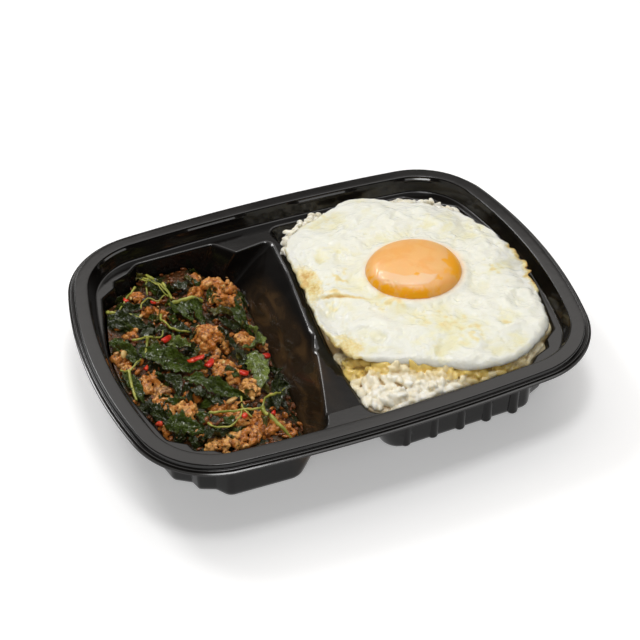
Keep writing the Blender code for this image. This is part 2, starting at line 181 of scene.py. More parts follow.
class Paint:
    """A material under construction, with patterns measured in millimetres."""

    def __init__(self, name: str) -> None:
        """Starts a material with one Principled shader.

        Args:
            name: The material's name.
        """
        self.material = bpy.data.materials.new(name)
        self.material.use_nodes = True
        self.tree = self.material.node_tree
        self.shader = self.tree.nodes["Principled BSDF"]
        coordinates = self.node("ShaderNodeTexCoord")
        to_mm = {"Vector": coordinates.outputs["Object"], "Scale": (1 / MM,) * 3}
        self.place = self.node("ShaderNodeMapping", {}, to_mm).outputs[0]

    def node(self, kind: str, settings: dict | None = None, sockets: dict | None = None) -> bpy.types.Node:
        """Adds a node.

        Args:
            kind: The node's type.
            settings: Its properties, and under "stops" a ramp's positions and colours.
            sockets: Values or links for its inputs, by name or number.

        Returns:
            The node.
        """
        node = self.tree.nodes.new(kind)
        for key, value in (settings or {}).items():
            if key == "stops":
                self.set_stops(node.color_ramp, value)
            else:
                setattr(node, key, value)
        for key, value in (sockets or {}).items():
            self.feed(node.inputs[key], value)
        return node

    def set_stops(self, ramp: bpy.types.ColorRamp, stops: Sequence[tuple[float, Colour]]) -> None:
        """Gives a ramp its positions and colours."""
        while len(ramp.elements) < len(stops):
            ramp.elements.new(1.0)
        for element, (position, colour) in zip(ramp.elements, stops):
            element.position = position
            element.color = (*colour, 1)

    def feed(self, socket: bpy.types.NodeSocket, value: object) -> None:
        """Links an input to a socket or sets its value."""
        if isinstance(value, Num):
            value = value.socket
        if isinstance(value, bpy.types.NodeSocket):
            self.tree.links.new(value, socket)
        elif isinstance(value, tuple) and len(value) == 3 and socket.type == "RGBA":
            socket.default_value = (*value, 1)
        else:
            socket.default_value = value

    def noise(self, size: float, detail: float = 2.0, distortion: float = 0.0, stretch: Colour = (1, 1, 1)) -> Num:
        """A cloudy pattern from 0 to 1.

        Args:
            size: The size of its features in millimetres.
            detail: How many finer layers it has.
            distortion: How far it is stirred.
            stretch: How many times longer the features are along each axis.

        Returns:
            The pattern.
        """
        place = self.place
        if stretch != (1, 1, 1):
            shrink = tuple(1 / s for s in stretch)
            place = self.node("ShaderNodeMapping", {}, {"Vector": place, "Scale": shrink}).outputs[0]
        sockets = {"Vector": place, "Scale": 1 / size, "Detail": detail, "Distortion": distortion}
        return Num(self, self.node("ShaderNodeTexNoise", {}, sockets).outputs[0])

    def cells(self, size: float, feature: str = "F1", randomness: float = 1.0) -> Num:
        """The distance to the middle or the edge of the nearest cell, in cells."""
        sockets = {"Vector": self.place, "Scale": 1 / size, "Randomness": randomness}
        return Num(self, self.node("ShaderNodeTexVoronoi", {"feature": feature}, sockets).outputs["Distance"])

    def ramp(self, value: Num, *stops: tuple[float, Colour]) -> bpy.types.NodeSocket:
        """The colours of a ramp looked up by a value from 0 to 1."""
        return self.node("ShaderNodeValToRGB", {"stops": stops}, {0: value}).outputs[0]

    def blend(self, share: Num | float, first: object, second: object, mode: str = "MIX") -> bpy.types.NodeSocket:
        """Mixes two colours.

        Args:
            share: How much of the second colour is used.
            first: The first colour or its socket.
            second: The second colour or its socket.
            mode: The way that they mix.

        Returns:
            The mixed colour.
        """
        settings = {"data_type": "RGBA", "blend_type": mode, "clamp_factor": True}
        return self.node("ShaderNodeMix", settings, {0: share, 6: first, 7: second}).outputs[2]

    def attribute(self, name: str) -> Num:
        """A number stored on the mesh."""
        return Num(self, self.node("ShaderNodeAttribute", {"attribute_name": name}).outputs["Fac"])

    def height(self) -> Num:
        """The height above the table in millimetres."""
        return Num(self, self.node("ShaderNodeSeparateXYZ", {}, {0: self.place}).outputs["Z"])

    def bump(self, *layers: tuple[Num, float]) -> bpy.types.NodeSocket:
        """A normal raised by patterns.

        Args:
            layers: Each pattern and how far it rises, in millimetres.

        Returns:
            The normal.
        """
        normal = None
        for pattern, rise in layers:
            sockets = {"Height": pattern, "Distance": rise * MM, "Strength": 1.0}
            if normal:
                sockets["Normal"] = normal
            normal = self.node("ShaderNodeBump", {}, sockets).outputs[0]
        return normal

    def shade(self, **sockets: object) -> bpy.types.Material:
        """Sets the shader's inputs, named with underscores for spaces, and gives the material."""
        for key, value in sockets.items():
            self.feed(self.shader.inputs[key.replace("_", " ")], value)
        return self.material


# ---------------------------------------------------------------------------------------------
# Shapes
# ---------------------------------------------------------------------------------------------


def arc(centre: Sequence[float], radius: float, start: float, end: float, steps: int) -> Outline:
    """Points along an arc, both ends included."""
    angles = [mix(start, end, i / steps) for i in range(steps + 1)]
    return [Vector((centre[0] + radius * math.cos(a), centre[1] + radius * math.sin(a))) for a in angles]


def moved_out(corners: Corners, distance: float) -> Corners:
    """Moves a closed anticlockwise outline's corners outwards.

    Args:
        corners: Each corner's x, y and radius.
        distance: How far the sides move.

    Returns:
        The moved corners, with radii to match.
    """
    moved = []
    for i, (x, y, radius) in enumerate(corners):
        here = Vector((x, y))
        before = (here - Vector(corners[i - 1][:2])).normalized()
        after = (Vector(corners[(i + 1) % len(corners)][:2]) - here).normalized()
        outwards = Vector((before.y + after.y, -before.x - after.x)).normalized()
        reach = distance / outwards.dot(Vector((before.y, -before.x)))
        new_radius = max(0.3, radius + math.copysign(distance, before.cross(after)))
        moved.append((*(here + outwards * reach), new_radius))
    return tuple(moved)


def rounded(corners: Corners, steps: int, side_points: Sequence[int]) -> Outline:
    """Draws a closed outline through rounded corners.

    Args:
        corners: Each corner's x, y and radius.
        steps: The number of steps round each corner.
        side_points: How many more points each side gets.

    Returns:
        The outline's points, the same number for any corners in the same order.
    """
    points: Outline = []
    ends = []
    for i, (x, y, radius) in enumerate(corners):
        here = Vector((x, y))
        to_last = Vector(corners[i - 1][:2]) - here
        to_next = Vector(corners[(i + 1) % len(corners)][:2]) - here
        half = to_last.angle(to_next) / 2
        tangent = min(radius / math.tan(half), 0.49 * to_last.length, 0.49 * to_next.length)
        radius = tangent * math.tan(half)
        inwards = (to_last.normalized() + to_next.normalized()).normalized()
        centre = here + inwards * (radius / math.sin(half))
        first = here + to_last.normalized() * tangent - centre
        last = here + to_next.normalized() * tangent - centre
        start = math.atan2(first.y, first.x)
        sweep = (math.atan2(last.y, last.x) - start + math.pi) % math.tau - math.pi
        points += arc(centre, radius, start, start + sweep, steps)
        ends.append(len(points))
    for end, extra in reversed(list(zip(ends, side_points))):
        here, following = points[end - 1], points[end % len(points)]
        points[end:end] = [here.lerp(following, (k + 1) / (extra + 1)) for k in range(extra)]
    return points


def curve_through(points: Sequence[Sequence[float]], steps: int, closed: bool) -> Outline:
    """Draws a Catmull-Rom curve through points.

    Args:
        points: The points in order, in two or three dimensions.
        steps: The number of steps between two points.
        closed: Whether the curve comes back to its first point.

    Returns:
        The curve's points.
    """
    given = [Vector(p) for p in points]
    count = len(given)
    spans = count if closed else count - 1
    curve = []
    for i in range(spans):
        if closed:
            a, b, c, d = (given[(i + k) % count] for k in (-1, 0, 1, 2))
        else:
            a, b, c, d = (given[min(count - 1, max(0, i + k))] for k in (-1, 0, 1, 2))
        for step in range(steps):
            t = step / steps
            curve.append(b + t * ((c - a) + t * ((2 * a - 5 * b + 4 * c - d) + t * (3 * (b - c) + d - a))) / 2)
    return curve if closed else curve + [given[-1]]


def lifted(outline: Iterable[Vector], height: float) -> Outline:
    """An outline placed at a height."""
    return [Vector((p.x, p.y, height)) for p in outline]


def pulled_in(ring: Outline, distance: float) -> Outline:
    """A ring with each point moved by a distance towards the ring's centre."""
    centre = sum((p.xy for p in ring), Vector((0, 0))) / len(ring)
    steps = [(p.xy - centre).normalized() * distance for p in ring]
    return [Vector((p.x - step.x, p.y - step.y, p.z)) for p, step in zip(ring, steps)]


def loft(rings: Sequence[Outline]) -> bmesh.types.BMesh:
    """Extrudes a capped circle through rings.

    Args:
        rings: Rings with the same number of points that run the same way.

    Returns:
        A closed solid with its faces pointing out.
    """
    bm = bmesh.new()
    row = bmesh.ops.create_circle(bm, cap_ends=True, segments=len(rings[0]), radius=1)["verts"]
    edges = list(bm.edges)
    for vert, point in zip(row, rings[0]):
        vert.co = point
    for ring in rings[1:]:
        made = bmesh.ops.extrude_edge_only(bm, edges=edges)["geom"]
        fresh = {item for item in made if isinstance(item, bmesh.types.BMVert)}
        edges = [item for item in made if isinstance(item, bmesh.types.BMEdge) and fresh.issuperset(item.verts)]
        row = [next(e.other_vert(v) for e in v.link_edges if e.other_vert(v) in fresh) for v in row]
        for vert, point in zip(row, ring):
            vert.co = point
    bmesh.ops.edgeloop_fill(bm, edges=edges)
    bmesh.ops.recalc_face_normals(bm, faces=bm.faces)
    return bm


def wrapped(columns: int, rows: int, place: Callable[[float, float], Vector]) -> bmesh.types.BMesh:
    """Wraps a grid into a closed skin.

    Args:
        columns: The number of faces round the skin.
        rows: The number of faces from the first pole to the last.
        place: Gives a point for a share of the way round and a share of the way between the poles.

    Returns:
        The skin, with its seam and poles closed and its faces pointing out.
    """
    bm = bmesh.new()
    bmesh.ops.create_grid(bm, x_segments=columns, y_segments=rows, size=0.5)
    for vert in bm.verts:
        around = round((vert.co.x + 0.5) * columns) % columns / columns
        vert.co = place(around, vert.co.y + 0.5)
    bmesh.ops.remove_doubles(bm, verts=bm.verts, dist=0.0001)
    bmesh.ops.recalc_face_normals(bm, faces=bm.faces)
    return bm


def fused(bm: bmesh.types.BMesh, voxel: float, share: float) -> bmesh.types.BMesh:
    """Melts overlapping lumps into one skin.

    Args:
        bm: The lumps, which are used up.
        voxel: The size of the skin's faces at first.
        share: The share of those faces that is kept.

    Returns:
        The skin.
    """
    lumps = scratch_object("lumps", bm)
    modifier = lumps.modifiers.new("Fuse", "REMESH")
    modifier.mode = "VOXEL"
    modifier.voxel_size = voxel
    lumps.modifiers.new("Thin out", "DECIMATE").ratio = share
    graph = bpy.context.evaluated_depsgraph_get()
    mesh = bpy.data.meshes.new_from_object(lumps.evaluated_get(graph))
    skin = bmesh.new()
    skin.from_mesh(mesh)
    bpy.data.meshes.remove(lumps.data)
    bpy.data.meshes.remove(mesh)
    return skin


def add_to(bm: bmesh.types.BMesh, other: bmesh.types.BMesh) -> None:
    """Adds another bmesh, which is used up, to a bmesh."""
    mesh = bpy.data.meshes.new("added")
    other.to_mesh(mesh)
    other.free()
    bm.from_mesh(mesh)
    bpy.data.meshes.remove(mesh)


def scratch_object(name: str, bm: bmesh.types.BMesh) -> bpy.types.Object:
    """An object for a bmesh that another step uses up."""
    mesh = bpy.data.meshes.new(name)
    bm.to_mesh(mesh)
    bm.free()
    obj = bpy.data.objects.new(name, mesh)
    bpy.context.scene.collection.objects.link(obj)
    return obj


def carved(body: bmesh.types.BMesh, steps: Sequence[tuple[str, bmesh.types.BMesh]]) -> bmesh.types.BMesh:
    """Joins solids to a body and cuts them from it.

    Args:
        body: The closed solid to start from.
        steps: A Boolean operation and its solid for each step, in order.

    Returns:
        The carved solid.
    """
    base = scratch_object("body", body)
    used = [base]
    for operation, solid in steps:
        tool = scratch_object("tool", solid)
        modifier = base.modifiers.new(operation, "BOOLEAN")
        modifier.operation = operation
        modifier.solver = "EXACT"
        modifier.object = tool
        used.append(tool)
    graph = bpy.context.evaluated_depsgraph_get()
    mesh = bpy.data.meshes.new_from_object(base.evaluated_get(graph))
    result = bmesh.new()
    result.from_mesh(mesh)
    for obj in used:
        bpy.data.meshes.remove(obj.data)
    bpy.data.meshes.remove(mesh)
    return result


@dataclass
class Piece:
    """What every piece of the meal has: a name, a finish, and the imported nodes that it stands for."""

    name: str
    slot: str
    replaces: tuple[str, ...] = ()

    def show(self, bm: bmesh.types.BMesh, material: bpy.types.Material, sharp: float = 180.0) -> bpy.types.Object:
        """Turns a bmesh in millimetres into a shown piece.

        Args:
            bm: The piece's mesh, which is used up.
            material: Its finish.
            sharp: The angle in degrees from which an edge is drawn sharp.

        Returns:
            The piece's object, riding on the meal.
        """
        bmesh.ops.scale(bm, vec=(MM, MM, MM), verts=bm.verts)
        obj = scratch_object(self.name, bm)
        obj.data.shade_smooth()
        if sharp < 180:
            obj.data.set_sharp_from_angle(angle=math.radians(sharp))
        obj.data.materials.append(material)
        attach(obj, "root")
        if self.replaces:
            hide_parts(*self.replaces)
        obj.data.calc_loop_triangles()
        LOG.info("%s: %d triangles", self.name, len(obj.data.loop_triangles))
        return obj


# ---------------------------------------------------------------------------------------------
# Tray
# ---------------------------------------------------------------------------------------------


@dataclass(frozen=True)
class BlackPlastic:
    """Thin formed plastic: black, glossy and faintly uneven, with a brown smear low on the divider wall that is partly
    a saucy film and partly a painted reflection of the food.
    """

    colour: Colour = (0.0050, 0.0043, 0.0038)
    worn: Colour = (0.0085, 0.0075, 0.0068)
    # The smear's brown: partly a saucy film, partly a painted reflection of the food in the wall.
    sauce_and_reflected_food: Colour = (0.064, 0.036, 0.015)
    gloss: tuple[float, float] = (0.09, 0.17)

    def material(self) -> bpy.types.Material:
        """The plastic's material."""
        paint = Paint("Black formed plastic")
        haze = paint.noise(14, detail=3)
        skin = paint.noise(1.3, detail=2)
        streaks = paint.noise(2.4, detail=3, stretch=(9, 1, 1))
        place = paint.node("ShaderNodeSeparateXYZ", {}, {0: paint.place}).outputs
        across, back = Num(paint, place["X"]), Num(paint, place["Y"])
        # The pork side of the divider wall gets a brown smear, partly a saucy film and partly a painted reflection of
        # the food.
        wall = across.rising(-44, -32) * across.rising(-10, -16) * paint.height().rising(27, 23)
        wall = wall * back.rising(50, 24)
        drips_and_reflections = paint.noise(7, detail=4, distortion=0.8, stretch=(1, 2.2, 1)).rising(0.42, 0.66)
        plain = paint.blend(haze.rising(0.35, 0.75), self.colour, self.worn)
        return paint.shade(
            Base_Color=paint.blend(wall * (drips_and_reflections * 0.6 + 0.3), plain, self.sauce_and_reflected_food),
            Roughness=haze * (self.gloss[1] - self.gloss[0]) + streaks * 0.06 + self.gloss[0] - 0.03,
            Normal=paint.bump((skin, 0.008), (haze, 0.06)),
            IOR=1.46,
        )


@dataclass
class Rim:
    """The tray's rim: round corners joined by bowed sides, and a section that is the same all round."""

    length: float
    width: float
    height: float
    corner_radius: float = 38.9
    long_side_bow: float = 2.8
    short_side_bow: float = 4.9
    corner_steps: int = 22
    side_steps: int = 14
    wall: float = 0.8
    bead_depth: float = 0.55
    bead_spans: tuple[tuple[float, float], ...] = ((13.0, 45.0), (68.0, 86.0))

    def outline(self, inset: float) -> Outline:
        """The rim's outline moved inwards by an inset: a quarter, mirrored round."""
        core_x = self.length / 2 - self.corner_radius - self.short_side_bow
        core_y = self.width / 2 - self.corner_radius - self.long_side_bow
        side_radius = (core_y**2 + self.short_side_bow**2) / (2 * self.short_side_bow)
        back_radius = (core_x**2 + self.long_side_bow**2) / (2 * self.long_side_bow)
        side_turn = math.asin(core_y / side_radius)
        back_turn = math.pi / 2 - math.asin(core_x / back_radius)
        offset = self.corner_radius - inset
        side_centre = (core_x + self.short_side_bow - side_radius, 0)
        back_centre = (0, core_y + self.long_side_bow - back_radius)
        quarter = arc(side_centre, side_radius + offset, 0, side_turn, self.side_steps)[:-1]
        quarter += arc((core_x, core_y), offset, side_turn, back_turn, self.corner_steps)
        quarter += arc(back_centre, back_radius + offset, back_turn, math.pi / 2, 2 * self.side_steps)[1:]
        back = quarter + [Vector((-p.x, p.y)) for p in quarter[-2::-1]]
        return back + [Vector((p.x, -p.y)) for p in back[-2:0:-1]]

    def bead(self, point: Vector) -> float:
        """How much of the lid's snap bead there is at a point: it runs in stretches along the long sides."""
        if abs(point.y) < self.width / 3:
            return 0.0
        shares = [smooth((abs(point.x) - a) / 2) * smooth((b - abs(point.x)) / 2) for a, b in self.bead_spans]
        return max(shares)

    def ring(self, inset: float, height: float, bead: float = 0.0) -> Outline:
        """The outline at an inset and a height, pushed in where the snap bead is."""
        outer = self.outline(inset)
        if not bead:
            return lifted(outer, height)
        inner = self.outline(inset + bead)
        return lifted((a.lerp(b, self.bead(a)) for a, b in zip(outer, inner)), height)

    def upper_section(self) -> list[tuple[float, float, float]]:
        """Inset, height and bead of the upper side, from the lip's edge in to the ledge."""
        top = self.height
        return [
            (0.14, top - 3.46, 0), (0.0, top - 3.30, 0), (0.0, top - 2.86, 0), (0.10, top - 2.66, 0),
            (0.34, top - 2.56, 0), (0.72, top - 2.50, 0), (0.98, top - 2.34, 0), (1.14, top - 2.02, 0),
            (1.34, top - 1.80, 0), (1.64, top - 1.72, 0), (1.94, top - 1.80, 0), (2.14, top - 1.92, 0),
            (2.38, top - 1.92, 0), (2.58, top - 1.74, 0), (2.74, top - 1.36, 0), (2.90, top - 0.62, 0),
            (3.00, top - 0.30, 0), (3.18, top - 0.10, 0), (3.48, top, 0), (5.2, top, 0), (7.0, top, 0),
            (8.66, top, 0), (8.94, top - 0.05, 0), (9.18, top - 0.22, 0), (9.34, top - 0.50, 0),
            (9.46, top - 0.95, 0), (9.64, top - 1.40, 1.0), (9.82, top - 1.95, 1.0), (10.02, top - 2.45, 0.4),
            (10.2, top - 3.0, 0), (10.7, top - 4.6, 0), (11.3, top - 6.3, 0), (11.46, top - 6.86, 0),
            (11.70, top - 7.30, 0), (12.06, top - 7.55, 0), (12.5, top - 7.6, 0),
        ]

    def lower_section(self) -> list[tuple[float, float]]:
        """Inset and height of the under side, from the ledge out to the lip's edge."""
        under = self.height - self.wall
        return [
            (12.5, under - 7.6), (11.4, under - 7.45), (10.8, under - 6.9), (8.9, under - 0.7),
            (8.3, under), (4.3, under), (3.7, under - 0.4), (3.2, under - 1.9), (2.3, under - 2.5),
            (1.3, under - 2.7), (0.4, under - 2.7),
        ]

    def plate(self) -> bmesh.types.BMesh:
        """The rim with a ledge that is still whole."""
        rings = [self.ring(inset, height) for inset, height in self.lower_section()]
        for inset, height, bead in self.upper_section():
            rings.append(self.ring(inset, height, bead * self.bead_depth))
        return loft(rings)


@dataclass
class Cup:
    """A compartment: an opening in the ledge, sloping walls and a filleted floor."""

    opening: Corners
    floor: Corners
    depth: float
    wall: float = 0.8
    fillet: float = 4.0
    round: float = 1.1
    spacing: float = 4.0
    ramp: tuple[float, float] = (-18.5, -10.5)
    ramp_spacing: float = 0.8
    corner_steps: int = 7
    wall_rows: int = 7
    side_points: list[int] = field(init=False)
    edge: Outline = field(init=False)

    def __post_init__(self) -> None:
        """Counts the points along the sides, so that every ring has the same number."""
        following = self.opening[1:] + self.opening[:1]
        self.side_points = [self.points_between(a, b) for a, b in zip(self.opening, following)]
        self.edge = rounded(self.opening, self.corner_steps, self.side_points)

    def points_between(self, a: Sequence[float], b: Sequence[float]) -> int:
        """How many points the side between two corners gets: more where the divider's ramp meets it."""
        beside = max(abs(a[0]), abs(b[0])) < 20
        ramped = beside and max(a[1], b[1]) > self.ramp[0] and min(a[1], b[1]) < self.ramp[1]
        return int((Vector(a[:2]) - Vector(b[:2])).length / (self.ramp_spacing if ramped else self.spacing))

    def ring(self, height_at: Callable[[Vector], float], grow: float = 0.0) -> Outline:
        """The wall's outline.

        Args:
            height_at: Gives the ring's height for a point of the opening's edge.
            grow: How far the ring is moved out.

        Returns:
            The ring's points.
        """
        low = rounded(moved_out(self.floor, grow), self.corner_steps, self.side_points)
        high = rounded(moved_out(self.opening, grow), self.corner_steps, self.side_points)
        ring = []
        for a, b, edge in zip(low, high, self.edge):
            height = height_at(edge)
            point = a.lerp(b, (height - self.wall) / self.depth)
            ring.append(Vector((point.x, point.y, height)))
        return ring

    def floor_rings(self, bottom: float, grow: float = 0.0) -> list[Outline]:
        """Rings through the fillet between the floor and the walls."""
        rings = []
        for turn in (0, 18, 36, 54, 72, 90):
            rise = self.fillet * (1 - math.cos(math.radians(turn)))
            inwards = self.fillet * (1 - math.sin(math.radians(turn)))
            rings.append(pulled_in(self.ring(lambda _: bottom + rise, grow), inwards))
        return rings

    def wall_rings(self, foot: float, top_at: Callable[[Vector], float], grow: float = 0.0) -> list[Outline]:
        """Rings from just over the fillet to a top, that one included."""
        shares = [(i + 1) / self.wall_rows for i in range(self.wall_rows)]
        return [self.ring(lambda p: mix(foot, top_at(p), share), grow) for share in shares]

    def outside(self, top: float) -> bmesh.types.BMesh:
        """The compartment with its wall, up to a height."""
        foot = self.fillet
        return loft(self.floor_rings(0, self.wall) + self.wall_rings(foot, lambda _: top, self.wall))

    def inside(self, shelf: Callable[[Vector], float], top: float) -> bmesh.types.BMesh:
        """The space in the compartment, flared so that the opening's edge is rounded.

        Args:
            shelf: Gives the height of the ledge at a point.
            top: The height that the space is cut up to.

        Returns:
            The space as a solid.
        """
        foot = self.wall + self.fillet
        rings = self.floor_rings(self.wall) + self.wall_rings(foot, lambda p: shelf(p) - self.round)
        for turn in (22, 45, 68, 90):
            grow = self.round * (1 - math.cos(math.radians(turn)))
            drop = self.round * (1 - math.sin(math.radians(turn)))
            rings.append(self.ring(lambda p: shelf(p) - drop, grow))
        rings.append(lifted(rings[-1], top))
        return loft(rings)


def kept_in(
    bm: bmesh.types.BMesh, space: BVHTree, below: float = math.inf, gap: float = 0.12
) -> bmesh.types.BMesh:
    """Pushes what reaches into the walls of a space back into it.

    Args:
        bm: The mesh, whose points are moved.
        space: The space's surface, facing out.
        below: The height from which points are left alone.
        gap: How far from the walls a point that was moved ends.

    Returns:
        The same mesh.
    """
    for vert in bm.verts:
        nearest, normal, _, _ = space.find_nearest(vert.co)
        if vert.co.z < below and (vert.co - nearest).dot(normal) > -gap:
            vert.co = nearest - normal * gap
    return bm


@dataclass
class Divider:
    """The front half of the divider, which is lower than the ledge."""

    ledge: float
    front_drop: float = 1.2
    back_drop: float = 3.2
    front: float = -58.8
    back: float = -18.5
    ridge: float = -10.5
    left: float = -30.0
    round: float = 0.5
    slope_steps: int = 16

    def drop(self, y: float) -> float:
        """How far the divider is below the ledge: it falls from the front to a ramp behind."""
        fall = mix(self.front_drop, self.back_drop, min(1.0, (y - self.front) / (self.back - self.front)))
        return fall * (1 - smooth((y - self.back) / (self.ridge - self.back)))

    def shelf(self, point: Vector) -> float:
        """The height of the ledge or of the divider at a point."""
        if point.y < self.front or not self.left < point.x < 0:
            return self.ledge
        return self.ledge - self.drop(point.y)

    def block(self, grow: float, top: float) -> bmesh.types.BMesh:
        """The space over the divider.

        Args:
            grow: How far its floor and its front are moved out, for the wall under it.
            top: The height that it reaches.

        Returns:
            The space as a solid.
        """
        level = self.ledge - self.front_drop - grow
        front = self.front - grow
        profile = [Vector((front - self.round, top))]
        profile += arc((front - self.round, self.ledge - grow - self.round), self.round, math.pi / 2, 0, 4)
        profile += arc((front + self.round, level + self.round), self.round, math.pi, 1.5 * math.pi, 4)
        for i in range(self.slope_steps + 1):
            y = mix(self.back, self.ridge, i / self.slope_steps)
            profile.append(Vector((y, self.ledge - grow + 0.03 * i / self.slope_steps - self.drop(y))))
        profile.append(Vector((self.ridge, top)))
        bm = bmesh.new()
        row = bmesh.ops.create_circle(bm, cap_ends=True, segments=len(profile), radius=1)["verts"]
        for vert, point in zip(row, profile):
            vert.co = (self.left, point.x, point.y)
        moved = bmesh.ops.extrude_face_region(bm, geom=list(bm.faces))["geom"]
        far_side = [v for v in moved if isinstance(v, bmesh.types.BMVert)]
        bmesh.ops.translate(bm, verts=far_side, vec=(-self.left, 0, 0))
        bmesh.ops.recalc_face_normals(bm, faces=bm.faces)
        return bm


@dataclass
class Ribs:
    """Hollow half-round ribs down the long walls of the rice's compartment."""

    count: int = 5
    first: float = 10.2
    pitch: float = 12.9
    radius: float = 2.5
    axis: float = 64.6
    foot: float = 1.4
    sides: int = 28

    def columns(self, radius: float, foot: float, top: float) -> bmesh.types.BMesh:
        """Upright columns with round feet.

        Args:
            radius: Their radius.
            foot: The height that they start at.
            top: The height that they reach.

        Returns:
            All the columns as one bmesh.
        """
        joined = bmesh.new()
        for i in range(self.count):
            for y in (-self.axis, self.axis):
                bm = bmesh.new()
                where = Matrix.Translation((self.first + i * self.pitch, y, (foot + top) / 2))
                size = {"radius1": radius, "radius2": radius, "depth": top - foot}
                bmesh.ops.create_cone(bm, cap_ends=True, segments=self.sides, matrix=where, **size)
                low = [e for e in bm.edges if all(v.co.z < foot + 0.01 for v in e.verts)]
                rounding = {"offset": radius * 0.7, "segments": 4, "profile": 0.5, "material": -1}
                bmesh.ops.bevel(bm, geom=low, affect="EDGES", **rounding)
                add_to(joined, bm)
        return joined


@dataclass
class Tray(Piece):
    """One formed sheet: a rim, a ledge, two compartments and a hollow divider."""

    name: str = "formed_tray"
    slot: str = "black_plastic"
    replaces: tuple[str, ...] = ("tray",)
    wall: float = 0.8
    ledge_drop: float = 7.6
    stepped: Corners = (
        (89.2, 47.8, 3.0), (82.2, 52.8, 1.5), (80.8, 57.3, 1.5), (73.5, 60.2, 3.0), (68.0, 65.0, 4.0),
    )
    stepped_floor: Corners = (
        (87.6, 46.8, 3.0), (80.8, 51.3, 1.5), (79.4, 55.8, 1.5), (73.0, 58.6, 3.0), (69.0, 64.0, 4.0),
    )
    side: tuple[float, float, float] = (100.6, 0.0, 180.0)
    side_floor: tuple[float, float, float] = (98.6, 0.0, 178.0)
    pork_side: Corners = (
        (-26.6, -66.2, 5.0), (-9.2, -20.5, 8.0), (-11.2, -8.0, 14.0), (-5.6, 33.0, 40.0), (-4.1, 58.5, 3.5),
        (-22.4, 55.4, 2.0), (-30.5, 65.6, 5.0),
    )
    pork_side_floor: Corners = (
        (-37.0, -65.0, 5.0), (-38.0, -20.5, 14.0), (-38.1, -8.0, 14.0), (-38.3, 33.0, 40.0), (-38.5, 50.0, 3.5),
        (-39.2, 56.0, 2.0), (-42.0, 64.6, 5.0),
    )
    rice_side: Corners = (
        (-3.0, 67.0, 5.0), (-0.1, 52.0, 14.0), (-5.1, 13.0, 40.0), (-8.2, -16.0, 24.0), (-7.8, -67.0, 7.0),
    )
    rice_side_floor: Corners = (
        (7.0, 65.6, 5.0), (8.6, 52.0, 14.0), (5.4, 13.0, 40.0), (3.0, -16.0, 24.0), (2.4, -65.6, 7.0),
    )

    def __post_init__(self) -> None:
        """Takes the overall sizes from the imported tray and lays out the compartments."""
        low, high = box_of("tray")
        size = high - low
        self.rim = Rim(size.x, size.y, size.z, wall=self.wall)
        self.height = size.z
        self.ledge = size.z - self.ledge_drop
        self.divider = Divider(self.ledge)
        self.ribs = Ribs()
        depth = self.ledge - self.wall
        self.pork_cup = Cup(
            self.left_corners(self.pork_side, self.stepped, self.side),
            self.left_corners(self.pork_side_floor, self.stepped_floor, self.side_floor),
            depth,
        )
        self.rice_cup = Cup(
            self.right_corners(self.rice_side, self.stepped, self.side),
            self.right_corners(self.rice_side_floor, self.stepped_floor, self.side_floor),
            depth,
        )

    def left_corners(self, divider: Corners, stepped: Corners, side: tuple[float, float, float]) -> Corners:
        """The stir-fry's compartment, from its front-right corner round to its front-left one."""
        back = tuple((-x, y, r) for x, y, r in reversed(stepped))
        front = tuple((-x, -y, r) for x, y, r in stepped)
        return (*divider, *back, (-side[0], side[1], side[2]), *front)

    def right_corners(self, divider: Corners, stepped: Corners, side: tuple[float, float, float]) -> Corners:
        """The rice's compartment, from its back-left corner round to its back-right one."""
        front = tuple((x, -y, r) for x, y, r in reversed(stepped))
        return (*divider, *front, side, *stepped)

    def space(self, cup: Cup) -> BVHTree:
        """The surface of the space in and over a compartment."""
        return BVHTree.FromBMesh(cup.inside(self.divider.shelf, 2 * self.height))

    def build(self) -> bpy.types.Object:
        """Forms the sheet and gives it its plastic."""
        buried = self.ledge - self.wall / 2
        clear = self.ledge + 2.0
        rib = self.ribs
        shelf = self.divider.shelf
        steps = [
            ("UNION", self.pork_cup.outside(buried)),
            ("UNION", self.rice_cup.outside(buried)),
            ("UNION", self.divider.block(self.wall, buried)),
            ("UNION", rib.columns(rib.radius, rib.foot, buried)),
            ("DIFFERENCE", self.pork_cup.inside(shelf, clear)),
            ("DIFFERENCE", self.rice_cup.inside(shelf, clear)),
            ("DIFFERENCE", self.divider.block(0, clear)),
            ("DIFFERENCE", rib.columns(rib.radius - self.wall, rib.foot + self.wall, self.ledge - 2 * self.wall)),
        ]
        bm = carved(self.rim.plate(), steps)
        bmesh.ops.remove_doubles(bm, verts=bm.verts, dist=0.001)
        bmesh.ops.recalc_face_normals(bm, faces=bm.faces)
        obj = self.show(bm, BlackPlastic().material(), sharp=38)
        weighted = obj.modifiers.new("Flat faces stay flat", "WEIGHTED_NORMAL")
        weighted.keep_sharp = True
        return obj


# ---------------------------------------------------------------------------------------------
# Rice
# ---------------------------------------------------------------------------------------------


def copies_of(templates: Sequence[bpy.types.Mesh], places: Iterable[Lay], seed: int) -> bmesh.types.BMesh:
    """Joins many small copies into one bmesh, each with a tint of its own.

    Args:
        templates: The shapes, one of which is drawn at random for each copy.
        places: Each copy's place and its tint from 0 to 1.
        seed: The seed of the draw.

    Returns:
        All the copies, with the tint on their vertices.
    """
    draw = random.Random(seed)
    joined = bmesh.new()
    for place, tint in places:
        mesh = draw.choice(templates).copy()
        mesh.transform(place)
        mesh.attributes["tint"].data.foreach_set("value", [tint] * len(mesh.vertices))
        joined.from_mesh(mesh)
        bpy.data.meshes.remove(mesh)
    return joined


def template_of(bm: bmesh.types.BMesh, name: str) -> bpy.types.Mesh:
    """A mesh to copy, with room for a tint on its vertices."""
    bmesh.ops.recalc_face_normals(bm, faces=bm.faces)
    mesh = bpy.data.meshes.new(name)
    bm.to_mesh(mesh)
    bm.free()
    mesh.attributes.new("tint", "FLOAT", "POINT")
    return mesh


